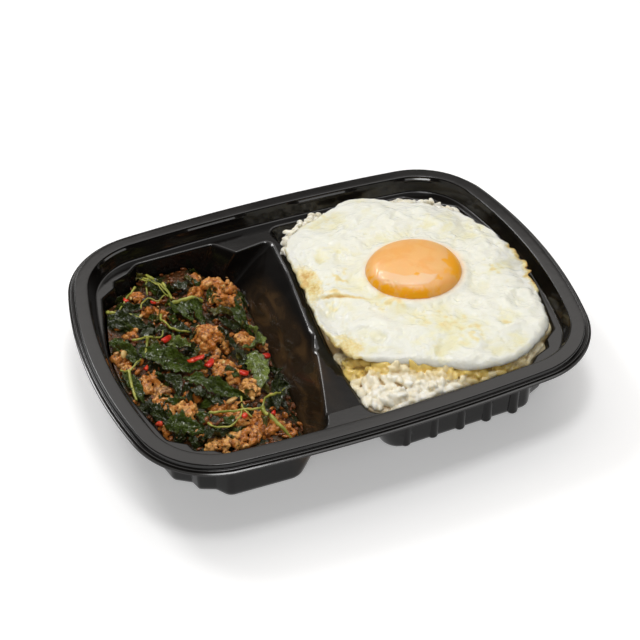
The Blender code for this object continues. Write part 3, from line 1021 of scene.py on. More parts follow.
def placed(where: Vector, normal: Vector, turn: float, scale: Vector) -> Matrix:
    """The matrix of a copy that lies on a surface.

    Args:
        where: The middle of the copy.
        normal: The way its Z axis points.
        turn: Its turn about that axis, in radians.
        scale: Its scale along its own axes.

    Returns:
        The matrix.
    """
    lie = normal.to_track_quat("Z", "Y").to_matrix().to_4x4()
    return Matrix.Translation(where) @ lie @ Matrix.Rotation(turn, 4, "Z") @ Matrix.Diagonal((*scale, 1))


@dataclass
class Bed:
    """A filling that follows its compartment, with a top that runs from the wall to a crown."""

    cup: Cup
    centre: tuple[float, float]
    crown: float
    edge_at: Callable[[Vector], float]
    clearance: float = 0.9
    floor_gap: float = 0.3
    rows: int = 46
    fall: float = 2.5

    def skin(self, relief: Callable[[Vector], float]) -> bmesh.types.BMesh:
        """The filling as a closed solid.

        Args:
            relief: Gives how far the top rises or sinks at a point.

        Returns:
            The solid.
        """
        rings = self.cup.floor_rings(self.cup.wall + self.floor_gap, -self.clearance)
        foot = self.cup.wall + self.cup.fillet
        rings += self.cup.wall_rings(foot, self.edge_at, -self.clearance)
        rim = rings[-1]
        centre = Vector(self.centre)
        for i in range(1, self.rows):
            inwards = 1 - i / self.rows
            ring = []
            for p in rim:
                flat = centre.lerp(p.xy, inwards)
                crown = mix(p.z, self.crown, 1 - inwards**self.fall)
                ring.append(Vector((*flat, crown + relief(flat) * (1 - inwards**12))))
            rings.append(ring)
        return loft(rings)


@dataclass(frozen=True)
class CookedRice:
    """Steamed white rice: soft grains that let light in, golden where the egg's oil ran down, with painted shade under
    the egg's lip and among the grains.
    """

    grain: Colour = (0.87, 0.81, 0.65)
    chalk: Colour = (0.95, 0.92, 0.83)
    warm: Colour = (0.86, 0.75, 0.50)
    # The golden colour: the egg's oil, and painted shade under the egg's lip and among the grains.
    oiled_and_shaded: Colour = (0.78, 0.57, 0.17)
    # The colour of painted shade deep among the grains.
    hollow: Colour = (0.58, 0.36, 0.14)

    def material(self) -> bpy.types.Material:
        """The rice's material, which reads from the mesh how oily each place is and how deep among the grains it lies,
        and paints shade into the deep places.
        """
        paint = Paint("Cooked rice")
        tint = paint.attribute("tint")
        deep = paint.attribute("hollow")
        cloud = paint.noise(2.6, detail=3)
        fine = paint.noise(0.5, detail=2)
        colour = paint.blend(cloud.rising(0.35, 0.7), self.grain, self.chalk)
        # Deep places turn warm, golden and darker: painted shade among the grains.
        colour = paint.blend((tint + deep * 0.30).rising(0.0, 0.50), colour, self.warm)
        colour = paint.blend((tint + deep * 0.20).rising(0.40, 0.95), colour, self.oiled_and_shaded)
        colour = paint.blend(deep.rising(0.40, 1.0) * 0.7, colour, self.hollow)
        return paint.shade(
            Base_Color=colour,
            Roughness=0.17 + fine * 0.22,
            Normal=paint.bump((cloud, 0.10), (fine, 0.03)),
            Subsurface_Weight=0.6,
            Subsurface_Radius=(1.0, 0.95, 0.85),
            Subsurface_Scale=0.0022,
            IOR=1.40,
        )


@dataclass
class Rice:
    """A bed of rice and the loose grains that show round the egg."""

    tray: Tray
    white: EggWhite
    grain_length: float = 6.6
    grain_width: float = 3.1
    under_egg: float = 5.0
    layers: tuple[float, ...] = (-1.4, -0.9, -0.5)
    pitch: float = 3.5
    voxel: float = 0.40
    pile: tuple[float, float] = (4.0, 51.0)
    perches: tuple[tuple[float, float, float], ...] = (
        (-1.2, 45.6, 30.0), (0.2, 48.9, 31.6), (2.2, 51.4, 32.4), (4.8, 53.8, 33.0), (7.8, 55.4, 33.0),
        (11.2, 57.4, 32.8), (14.4, 59.4, 32.4), (17.6, 61.0, 31.6), (20.6, 62.4, 31.0), (75.6, 51.6, 32.0),
        (72.0, 54.0, 31.0), (79.0, 49.0, 31.0), (64.0, 58.0, 31.0),
    )
    edge_drop: float = 4.9
    side_drop: float = 5.0
    corner: tuple[float, float] = (-3.0, 66.0)
    corner_drop: float = 9.0
    corner_reach: float = 15.0
    seed: int = 11

    def __post_init__(self) -> None:
        """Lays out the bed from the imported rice's box."""
        low, high = box_of("rice")
        middle = (low + high) / 2
        self.top = high.z
        crown = self.top - 1.6
        self.bed = Bed(self.tray.rice_cup, (middle.x + 1, middle.y), crown, self.edge_height, clearance=0.5)

    def edge_height(self, point: Vector) -> float:
        """How high the bed stands against the wall, lower in the back-left corner."""
        corner = smooth(1.25 - (point - Vector(self.corner)).length / self.corner_reach)
        level = min(self.top - self.edge_drop, self.tray.divider.shelf(point) - 1.4)
        return level - self.corner_drop * corner - self.side_drop * self.overhung(point)

    def overhung(self, point: Vector) -> float:
        """How far a point belongs to the sides where the egg hangs over the bed down to the wall."""
        beside = smooth((abs(point.x - 45) - 36) / 6)
        return beside * smooth((point.y + 27) / 9) * smooth((48 - point.y) / 8)

    def relief(self, point: Vector) -> float:
        """Lumps the size of grains on the bed under the loose ones."""
        near = noise.noise(Vector((point.x, point.y, 0)) / 1.8)
        clumps = noise.noise(Vector((point.x, point.y, 7)) / 7.0)
        piled = hump((point - Vector(self.pile)).length, 15) + 0.5 * smooth((point.y - 25) / 20)
        inwards = self.white.inwards(point)
        prop = mix(2.2, 5.2, min(1.0, piled)) * hump(inwards + 1.5, 5.0)
        bank = 2.6 * hump(inwards - 1.0, 3.6) * smooth((-25 - point.y) / 15)
        return -0.2 + 0.6 * near + 1.7 * clumps + prop * smooth((point.y + 30) / 20) + bank

    def grain_shapes(self) -> list[bpy.types.Mesh]:
        """A few grains, plump and a little bent, lying along X."""
        shapes = []
        for bend in (-0.5, -0.2, 0.25, 0.55):
            bm = bmesh.new()
            bmesh.ops.create_uvsphere(bm, u_segments=10, v_segments=8, radius=0.5)
            for vert in bm.verts:
                along = vert.co.z * 2
                plump = 1 + 0.10 * (1 - along * along) - 0.08 * along
                vert.co = (along * 0.5, vert.co.x * plump, vert.co.y * plump * 0.84)
            bmesh.ops.scale(bm, vec=(self.grain_length, self.grain_width, self.grain_width), verts=bm.verts)
            for vert in bm.verts:
                vert.co.y += bend * (2 * vert.co.x / self.grain_length) ** 2
            shapes.append(template_of(bm, "grain"))
        return shapes

    def oil_and_lip_shade(self, inside: float, point: Vector) -> float:
        """How golden the rice is, partly from the egg's oil and partly as painted shade under the egg: most of it close
        under the front lip.
        """
        front = smooth((-20 - point.y) / 25)
        near = smooth((inside + 8.5) / 9.0) ** 1.2
        near *= 1 - 0.55 * smooth((point.x - 46) / 18)
        side = smooth((4 - point.x) / 7) * smooth((point.y + 56) / 15) * front
        patch = 0.5 + noise.noise(Vector((point.x, point.y, 3)) / 6.0)
        return near * (0.30 + 0.62 * front) * (0.65 + 0.7 * patch) + 0.4 * side + 0.04

    def grains(self, bed: BVHTree, rises: Sequence[float], spread: float, draw: random.Random) -> list[Lay]:
        """Scatters grains in layers where the egg doesn't cover the bed.

        Args:
            bed: The bed's surface.
            rises: How high each layer lies over the bed.
            spread: How much the grains lean.
            draw: The random draws.

        Returns:
            Each grain's place and tint.
        """
        low, high = box_of("rice")
        half = self.grain_width / 2
        wall = KDTree(len(self.tray.rice_cup.edge))
        for i, point in enumerate(self.tray.rice_cup.edge):
            wall.insert((*point, 0), i)
        wall.balance()
        found = []
        for rise in rises:
            for cell in range(int((high.x - low.x) / self.pitch) * int((high.y - low.y) / self.pitch)):
                point = Vector((draw.uniform(low.x, high.x), draw.uniform(low.y, high.y)))
                inside = self.white.inwards(point)
                hit, normal, _, _ = bed.ray_cast(Vector((*point, 60)), Vector((0, 0, -1)))
                clear = wall.find((*point, 0))[2]
                if hit is None or normal.z < 0.5 or inside > self.under_egg or clear < half + 0.1:
                    continue
                if self.overhung(point) > 0.3:
                    continue
                lift = rise + draw.uniform(-0.4, 0.5) + half
                if inside > -0.5:
                    lift = min(lift, self.top - half - hit.z)
                lean = normal + Vector([draw.gauss(0, spread) for _ in range(3)])
                size = Vector((draw.uniform(0.80, 1.12), draw.uniform(0.88, 1.08), draw.uniform(0.88, 1.08)))
                turn = draw.uniform(0, math.tau)
                if clear < self.grain_length / 2:
                    lean, turn, lift = normal, draw.gauss(0, 0.25), lift - 0.5
                # The tint carries the egg's oil and painted shade under the egg's lip.
                tint = self.oil_and_lip_shade(inside, point) + draw.uniform(-0.10, 0.12)
                found.append((placed(hit + Vector((0, 0, lift)), lean.normalized(), turn, size), tint))
        return found

    def perched(self, draw: random.Random) -> list[Lay]:
        """White grains that stand out from under the egg's back edge, up to its height."""
        found = []
        for x, y, top in self.perches:
            for i in range(10):
                spread = Vector((draw.gauss(0, 1.2), draw.gauss(0, 1.2)))
                where = Vector((x + spread.x, y + spread.y, top - 0.7 * i + draw.uniform(-0.5, 0.3)))
                lean = Vector((draw.gauss(0, 0.45), draw.gauss(0, 0.45), 1))
                size = Vector((draw.uniform(0.55, 0.85), draw.uniform(0.6, 0.85), draw.uniform(0.6, 0.85)))
                found.append((placed(where, lean.normalized(), draw.uniform(0, math.tau), size), draw.uniform(-0.5, -0.1)))
        return found

    def mark_oil_and_shade(self, bm: bmesh.types.BMesh, grains: Sequence[Lay]) -> None:
        """Marks how oily each point of a skin is, and how deep among the grains it lies for painted shade."""
        near = KDTree(len(grains))
        for i, (place, _) in enumerate(grains):
            near.insert(place.translation, i)
        near.balance()
        tint = bm.verts.layers.float.get("tint") or bm.verts.layers.float.new("tint")
        hollow = bm.verts.layers.float.new("hollow")
        for vert in bm.verts:
            found = near.find_range(vert.co, self.grain_length / 2) or [near.find(vert.co)]
            vert[tint] = grains[min(found, key=lambda item: item[2])[1]][1]
            # Points that lie deep among the grains get painted shade, less of it towards the back.
            above = max(item[0].z for item in found) + 0.35 * self.grain_width
            shaded = 1 - smooth((vert.co.y - 36) / 8)
            vert[hollow] = shaded * max(0.0, min(1.0, (above - vert.co.z) / self.grain_width))

    def build(self) -> None:
        """Makes the bed and the grains, which stick together."""
        bed = self.bed.skin(self.relief)
        surface = BVHTree.FromBMesh(bed)
        draw = random.Random(self.seed)
        grains = self.grains(surface, self.layers, 0.34, draw)
        skin = fused(copies_of(self.grain_shapes(), grains, self.seed), self.voxel, 0.7)
        space = self.tray.space(self.tray.rice_cup)
        kept_in(skin, space)
        perched = self.perched(draw)
        standing = fused(copies_of(self.grain_shapes(), perched, self.seed), 0.32, 0.7)
        add_to(skin, kept_in(standing, space, self.tray.ledge + 0.1))
        grains += perched
        self.mark_oil_and_shade(skin, grains)
        self.mark_oil_and_shade(bed, grains)
        finish = CookedRice().material()
        Piece("rice_bed", "cooked_rice", ("rice",)).show(bed, finish)
        Piece("rice_grains", "cooked_rice").show(skin, finish)


# ---------------------------------------------------------------------------------------------
# Fried egg
# ---------------------------------------------------------------------------------------------


@dataclass(frozen=True)
class FriedWhite:
    """Set egg white: glossy, creamy in its hollows, brown where the pan was hottest, with painted shade along the
    crease.
    """

    set_white: Colour = (0.94, 0.92, 0.79)
    cream: Colour = (0.92, 0.86, 0.57)
    butter: Colour = (0.88, 0.71, 0.34)
    golden: Colour = (0.72, 0.44, 0.13)
    peach: Colour = (0.94, 0.66, 0.42)
    crisp: Colour = (0.22, 0.085, 0.02)

    def material(self) -> bpy.types.Material:
        """The white's material, which reads the hollows and the toasting from the mesh, with painted shade along the
        crease.
        """
        paint = Paint("Fried egg white")
        hollow = paint.attribute("hollow")
        toast_and_crease_shade = paint.attribute("toast_and_crease_shade")
        patches = paint.noise(13, detail=4, distortion=0.6)
        fine = paint.noise(1.1, detail=3, distortion=0.4)
        wrinkles = paint.noise(2.6, detail=3, distortion=1.6, stretch=(2.2, 1, 1))
        oil = paint.attribute("oil")
        creamy = (hollow * 0.7 + patches.rising(0.46, 0.72) * 0.5 + oil + fine * 0.15 - 0.10).held()
        colour = paint.blend(creamy.rising(0.15, 0.95), self.set_white, self.cream)
        colour = paint.blend((oil + creamy * 0.3 + fine * 0.3).rising(0.55, 1.2) * 0.85, colour, self.butter)
        browning_and_crease_shade = (toast_and_crease_shade + (fine - 0.5) * toast_and_crease_shade * 1.2).held()
        colour = paint.blend(paint.attribute("glow") * (0.5 + fine), colour, self.peach)
        colour = paint.blend(browning_and_crease_shade.rising(0.12, 0.45), colour, self.butter)
        colour = paint.blend(browning_and_crease_shade.rising(0.40, 0.72), colour, self.golden)
        colour = paint.blend(browning_and_crease_shade.rising(0.74, 1.0), colour, self.crisp)
        return paint.shade(
            Base_Color=colour,
            Roughness=0.10 + fine * 0.14 + toast_and_crease_shade * 0.15,
            Normal=paint.bump((wrinkles, 0.34), (fine, 0.17)),
            Subsurface_Weight=0.65,
            Subsurface_Radius=(1.0, 0.95, 0.8),
            Subsurface_Scale=0.0045,
            IOR=1.38,
        )


@dataclass
class EggWhite(Piece):
    """The fried egg's white: a bubbly sheet with a lip that is thicker in front, and a crisp edge on the right."""

    name: str = "fried_white"
    slot: str = "egg_white"
    replaces: tuple[str, ...] = ("egg_white",)
    edge_points: tuple[tuple[float, float], ...] = (
        (97, -10), (96, 5), (93, 20), (84, 40), (73, 50), (60, 57), (48, 65), (37, 67), (25, 62), (12, 57),
        (1, 50), (-4, 40), (-6, 20), (-9, -8), (-8, -27), (-2, -39), (10, -46), (27, -54), (38, -61),
        (50, -64), (62, -64), (75, -59), (86, -50), (90, -36), (94, -22),
    )
    centre: tuple[float, float] = (44.4, 2.8)
    yolk_radius: float = 22.4
    yolk_ratio: float = 0.92
    plateau: float = 3.5
    crease: tuple[tuple[float, float], ...] = ((-7.5, 4.0), (2.0, 1.5), (11.5, -3.5), (20.0, -7.5), (24.5, -8.5))
    blisters: tuple[tuple[float, float, float, float], ...] = (
        (79, -33, 6.4, 1.3), (60, -29, 4.6, 0.7), (9, 27, 4.6, -1.0), (23, 13, 4.4, -0.8), (67, -43, 4.0, -0.9),
        (26, 38, 4.2, -0.7), (88, 8, 4.0, 0.6), (46, -50, 4.4, 0.6), (54, 42, 5.5, 0.8), (12, -32, 4.4, 0.7),
    )
    oily: tuple[tuple[float, float, float, float], ...] = (
        (43, -34, 6.5, 0.9), (80, -10, 6.0, 0.7), (50, -45, 8.0, 0.6), (10, 11, 6.0, 0.9), (24, -11, 5.5, 0.9),
        (29, -15, 4.0, 0.9), (0, 15, 5.5, 0.7), (67, -43, 4.0, 0.6), (64, -56, 7.0, 0.4), (20, 54, 9.0, 0.5),
        (28, -46, 7.0, 0.4), (1, -6, 5.0, 0.6), (9, 27, 4.0, 0.35), (35, -29, 7.0, 0.5), (72, 30, 6.0, 0.4),
    )
    notches: tuple[tuple[float, float, float, float], ...] = (
        (95.6, -13.0, 1.7, 2.6), (94.0, -20.0, 2.0, 2.4), (97.0, -5.0, 1.8, 1.3), (-8.6, -3.0, 2.4, 1.2),
        (-7.0, 12.0, 2.6, 1.0), (-7.6, -31.0, 2.2, 1.0), (90.0, 27.0, 2.2, 1.2), (80.0, 45.0, 2.4, 1.0),
    )
    columns: int = 460
    rows: int = 128
    under_share: float = 0.14

    def __post_init__(self) -> None:
        """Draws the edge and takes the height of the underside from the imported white."""
        low, _ = box_of("egg_white")
        self.under = low.z
        steps = 24
        drawn = curve_through(self.edge_points, steps, closed=True)
        frilled = [self.frilled(p) for p in drawn]
        self.edge = sorted(frilled, key=self.turn_of)
        self.turns = [self.turn_of(p) for p in self.edge]

    def frilled(self, point: Vector) -> Vector:
        """A point of the edge with small uneven scallops pushed inwards."""
        centre = Vector(self.centre)
        at = Vector((point.x, point.y, 0))
        depth = 0.6 + 1.3 * abs(noise.noise(at / 7.0)) + 1.9 * noise.noise(at / 2.6) * self.crisped(point)
        depth += 0.35 * noise.noise(at / 1.7 + Vector((0, 0, 5)))
        depth += sum(notch * hump((point - Vector((x, y))).length, reach) for x, y, reach, notch in self.notches)
        return point + (centre - point).normalized() * max(0.0, depth)

    def crisped(self, point: Vector) -> float:
        """How crisp the edge is at a point: most on the right, some down the left."""
        right = smooth((point.x - 82) / 8) * smooth((10 - point.y) / 8) * smooth((point.y + 34) / 10)
        back = smooth((point.y - 30) / 12) * smooth((point.x - 62) / 12) * 0.35
        left = smooth((4 - point.x) / 5) * (0.35 + 0.35 * hump(point.y + 28, 9))
        return max(right, back, left)

    def turn_of(self, point: Vector) -> float:
        """A point's direction from the centre, as a share of a full turn."""
        return (math.atan2(point.y - self.centre[1], point.x - self.centre[0]) / math.tau) % 1.0

    def edge_at(self, share: float) -> Vector:
        """The edge in a direction given as a share of a full turn."""
        high = bisect.bisect_right(self.turns, share) % len(self.edge)
        low = high - 1
        span = (self.turns[high] - self.turns[low]) % 1.0
        return self.edge[low].lerp(self.edge[high], ((share - self.turns[low]) % 1.0) / max(span, 1e-6))

    def inwards(self, point: Vector) -> float:
        """How far a point is inside the edge, or minus how far it is outside."""
        centre = Vector(self.centre)
        return (self.edge_at(self.turn_of(point)) - centre).length - (point - centre).length

    def crease_offset(self, point: Vector) -> tuple[float, float]:
        """How far a point lies behind the crease, and how strong the crease is there."""
        best = (1e9, 0.0, 0.0)
        count = len(self.crease) - 1
        for i in range(count):
            a, b = Vector(self.crease[i]), Vector(self.crease[i + 1])
            along = max(0.0, min(1.0, (point - a).dot(b - a) / (b - a).length_squared))
            nearest = a.lerp(b, along)
            side = (b - a).cross(point - a)
            distance = (point - nearest).length
            if distance < best[0]:
                best = (distance, math.copysign(distance, side), (i + along) / count)
        strength = (0.25 + 0.75 * smooth((best[2] - 0.10) / 0.15)) * (1 - smooth((best[2] - 0.42) / 0.5))
        return best[1], strength

    def relief(self, point: Vector) -> float:
        """The bumps, bubbles and wrinkles of the top."""
        p = Vector((point.x, point.y, 0))
        warp = noise.noise_vector(p / 12.0) * 3.4
        q = p + warp
        calm = 0.50 + 0.50 * smooth(0.5 + 1.4 * noise.noise(p / 26.0 + Vector((3, 1, 4))))
        broad = 1.5 * noise.noise(q / 15.0)
        puffs = 2.2 * math.sqrt(noise.noise(q / 9.0 + Vector((8, 2, 0))) ** 2 + 0.012) - 0.70
        lumps = 0.85 * math.sqrt(noise.noise(q / 4.2 + Vector((1, 9, 2))) ** 2 + 0.01) - 0.22
        fine = 0.12 * noise.noise(q / 1.6)
        for x, y, radius, rise in self.blisters:
            away = (p.xy - Vector((x, y))).length
            if away < 2 * radius:
                ring = hump(away - radius, 0.45 * radius) if rise > 0 else 0.4 * hump(away - radius, 0.5 * radius)
                broad += abs(rise) * ring - 0.5 * abs(rise) * hump(away, 0.8 * radius)
        cell = noise.voronoi(q / 3.6, distance_metric="DISTANCE")[0][0]
        bubbles = 0.32 * hump(cell - 0.42, 0.12) - 0.28 * hump(cell, 0.26)
        spots = smooth((noise.noise(p / 8.0 + Vector((5, 5, 5))) - 0.02) / 0.22)
        crumple = smooth((9 - point.x) / 8) * hump(point.y - 14, 20)
        crumple *= 1.1 * abs(noise.noise(q / 2.6)) + 0.5 * noise.noise(q / 1.3)
        return broad + calm * (puffs + lumps + fine) + spots * bubbles + crumple

    def top(self, point: Vector, inwards: float) -> tuple[float, float]:
        """The height of the upper side, and how hollow it is there.

        Args:
            point: The place on the sheet.
            inwards: How far the place is from the edge.

        Returns:
            The height above the underside, and the hollowness from 0 to 1.
        """
        front = smooth((-30 - point.y) / 18)
        crisp = self.crisped(point)
        lip = mix(mix(1.9, 2.7, front), 0.9, crisp)
        radius = lip * mix(1.0, 1.25, front)
        share = min(1.0, inwards / radius)
        rounding = math.sqrt(max(0.0, 1 - (1 - share) ** 2))
        body = mix(lip, self.plateau, smooth((inwards - radius) / 15))
        away = Vector((point.x - self.centre[0], (point.y - self.centre[1]) / self.yolk_ratio)).length
        near_yolk = smooth((away - self.yolk_radius) / 6.0)
        bumps = self.relief(point) * smooth(inwards / mix(5.0, 3.0, crisp)) * mix(0.25, 1.0, near_yolk)
        collar = 0.9 * hump(away - self.yolk_radius - 1.4, 2.6)
        behind, strength = self.crease_offset(point)
        flap = strength * (0.65 * smooth(behind / 0.8) * math.exp(-max(0.0, behind) / 6.0))
        groove = strength * 0.45 * hump(min(0.0, behind + 0.5), 1.1) * (1 - smooth(behind / 0.8))
        height = body * rounding + (bumps + collar + flap - groove) * rounding
        # The crease's groove also counts as hollow, which paints it creamy as shade.
        hollow = smooth(0.40 - 0.55 * bumps) * 0.8 + groove * 0.6
        return max(0.35 * share + 0.2, height), min(1.0, hollow)

    def place(self, share: float, along: float) -> Vector:
        """A point of the sheet's skin: over the top from the middle to the edge, then back underneath."""
        edge = self.edge_at(share)
        centre = Vector(self.centre)
        reach = (edge - centre).length
        if along < 1 - self.under_share:
            out = along / (1 - self.under_share)
            out = 1 - (1 - out) ** 1.22 if out > 0 else 0.0
            flat = centre.lerp(edge, out)
            height, _ = self.top(flat, reach * (1 - out))
            ruffle = self.ruffle(flat, reach * (1 - out))
            return Vector((flat.x, flat.y, self.under + height + ruffle))
        back = (along - 1 + self.under_share) / self.under_share
        curl = min(1.0, back * 4)
        flat = centre.lerp(edge, 1 - 0.012 * curl if back < 0.25 else (1 - 0.012) * (1 - back) / 0.75)
        inwards = reach * (1 - (flat - centre).length / reach)
        return Vector((flat.x, flat.y, self.under - 0.1 * curl + self.ruffle(flat, inwards)))

    def ruffle(self, point: Vector, inwards: float) -> float:
        """How the whole sheet waves near its edge, and droops in front."""
        near = math.exp(-inwards / 5.0)
        at = Vector((point.x, point.y, 2))
        wave = 2.6 * noise.noise(at / 4.4) * self.crisped(point) + 0.5 * noise.noise(at / 9.0)
        droop = -1.3 * smooth((-34 - point.y) / 20) * smooth((point.x - 2) / 20)
        curl = 1.1 * self.crisped(point) * smooth((point.x - 80) / 8)
        return near * (wave + droop + curl)

    def oil(self, point: Vector) -> float:
        """How yellow the white is with oil that shows through thin places."""
        at = Vector((point.x, point.y, 4))
        stirred = point + noise.noise_vector(at / 5.0).xy * 4.0
        streaks = 0.55 + 1.1 * noise.noise(at / 2.4)
        found = [s * hump((stirred - Vector((x, y))).length, r) for x, y, r, s in self.oily]
        return max(0.0, min(1.0, max(found) * streaks))

    def toast_and_crease_shade(self, point: Vector, inwards: float) -> float:
        """How brown the white is at a point, with painted shade along the crease."""
        at = Vector((point.x, point.y, 0))
        blotch = 0.5 + 0.9 * noise.noise(at / 4.2 + Vector((2, 7, 1)))
        speck = 0.5 + 0.9 * noise.noise(at / 1.6)
        crisp_edge = self.crisped(point) * math.exp(-inwards / 2.0) * (0.75 + 0.5 * speck)
        behind, strength = self.crease_offset(point)
        # Along the crease the brown is partly browning and partly painted shade of the fold.
        crease = strength * hump(behind - 2.2, 3.6) * smooth((20 - point.x) / 16) * 0.50 * blotch
        crease_shade_line = strength * hump(behind + 0.2, 0.7) * (0.50 + 0.25 * blotch)
        left = smooth((6 - point.x) / 8) * hump(point.y - 15, 15) * (0.34 + 0.36 * blotch + 0.10 * speck)
        low_left = hump((Vector((point.x, point.y)) - Vector((-3.5, -31.0))).length, 8) * (0.35 + 0.45 * blotch)
        rim = 0.30 * math.exp(-inwards / 1.2) * blotch
        return max(0.0, min(1.0, max(crisp_edge, crease, crease_shade_line, left, low_left, rim)))

    def glow(self, point: Vector) -> float:
        """How much of the yolk shines through beside it: most on its right and in front."""
        away = Vector((point.x - self.centre[0], (point.y - self.centre[1]) / self.yolk_ratio))
        side = smooth(0.5 + 0.5 * away.normalized().dot(Vector((0.72, -0.69)))) if away.length > 1 else 0.0
        return (0.25 + 0.55 * side) * hump(away.length - self.yolk_radius + 0.5, 2.2)

    def build(self) -> bpy.types.Object:
        """Makes the white."""
        bm = wrapped(self.columns, self.rows, self.place)
        toast_and_crease_shade = bm.verts.layers.float.new("toast_and_crease_shade")
        hollow = bm.verts.layers.float.new("hollow")
        oil = bm.verts.layers.float.new("oil")
        glow = bm.verts.layers.float.new("glow")
        for vert in bm.verts:
            flat = vert.co.xy
            vert[glow] = self.glow(flat)
            inwards = max(0.0, self.inwards(flat))
            vert[toast_and_crease_shade] = self.toast_and_crease_shade(flat, inwards)
            vert[oil] = self.oil(flat)
            vert[hollow] = self.top(flat, inwards)[1]
        return self.show(bm, FriedWhite().material())


@dataclass(frozen=True)
class SoftYolk:
    """A runny yolk under a pale film of white, which is torn on the right and along the foot; a painted reflection of
    an overhead light lies along one strip.
    """

    film: Colour = (0.97, 0.51, 0.165)
    rosy: Colour = (0.95, 0.45, 0.115)
    # The colour of a painted reflection of an overhead light, laid along the strip.
    pale: Colour = (0.96, 0.61, 0.33)
    raw: Colour = (0.99, 0.42, 0.008)

    def material(self) -> bpy.types.Material:
        """The yolk's material, which reads from the mesh where the film is torn and where the painted reflection lies.
        """
        paint = Paint("Soft yolk")
        torn = paint.attribute("torn")
        painted_reflection_strip = paint.attribute("painted_reflection_strip")
        cloud = paint.noise(9, detail=3, distortion=0.8)
        threads = paint.noise(3.0, detail=3, distortion=2.0)
        colour = paint.blend(cloud.rising(0.40, 0.68), self.film, self.rosy)
        # Painted reflection of an overhead light along the strip.
        colour = paint.blend(painted_reflection_strip * (0.7 + threads * 0.3), colour, self.pale)
        colour = paint.blend((torn + (threads - 0.5) * 0.5).rising(0.25, 0.75), colour, self.raw)
        return paint.shade(
            Base_Color=colour,
            Roughness=0.30 + threads * 0.10,
            Normal=paint.bump((cloud, 0.20), (threads, 0.05)),
            Subsurface_Weight=0.35,
            Subsurface_Radius=(1.0, 0.42, 0.10),
            Subsurface_Scale=0.003,
            IOR=1.42,
            Coat_Weight=0.14 + paint.attribute("gloss") * 0.86,
            Coat_Roughness=0.06,
            Coat_IOR=1.5,
        )


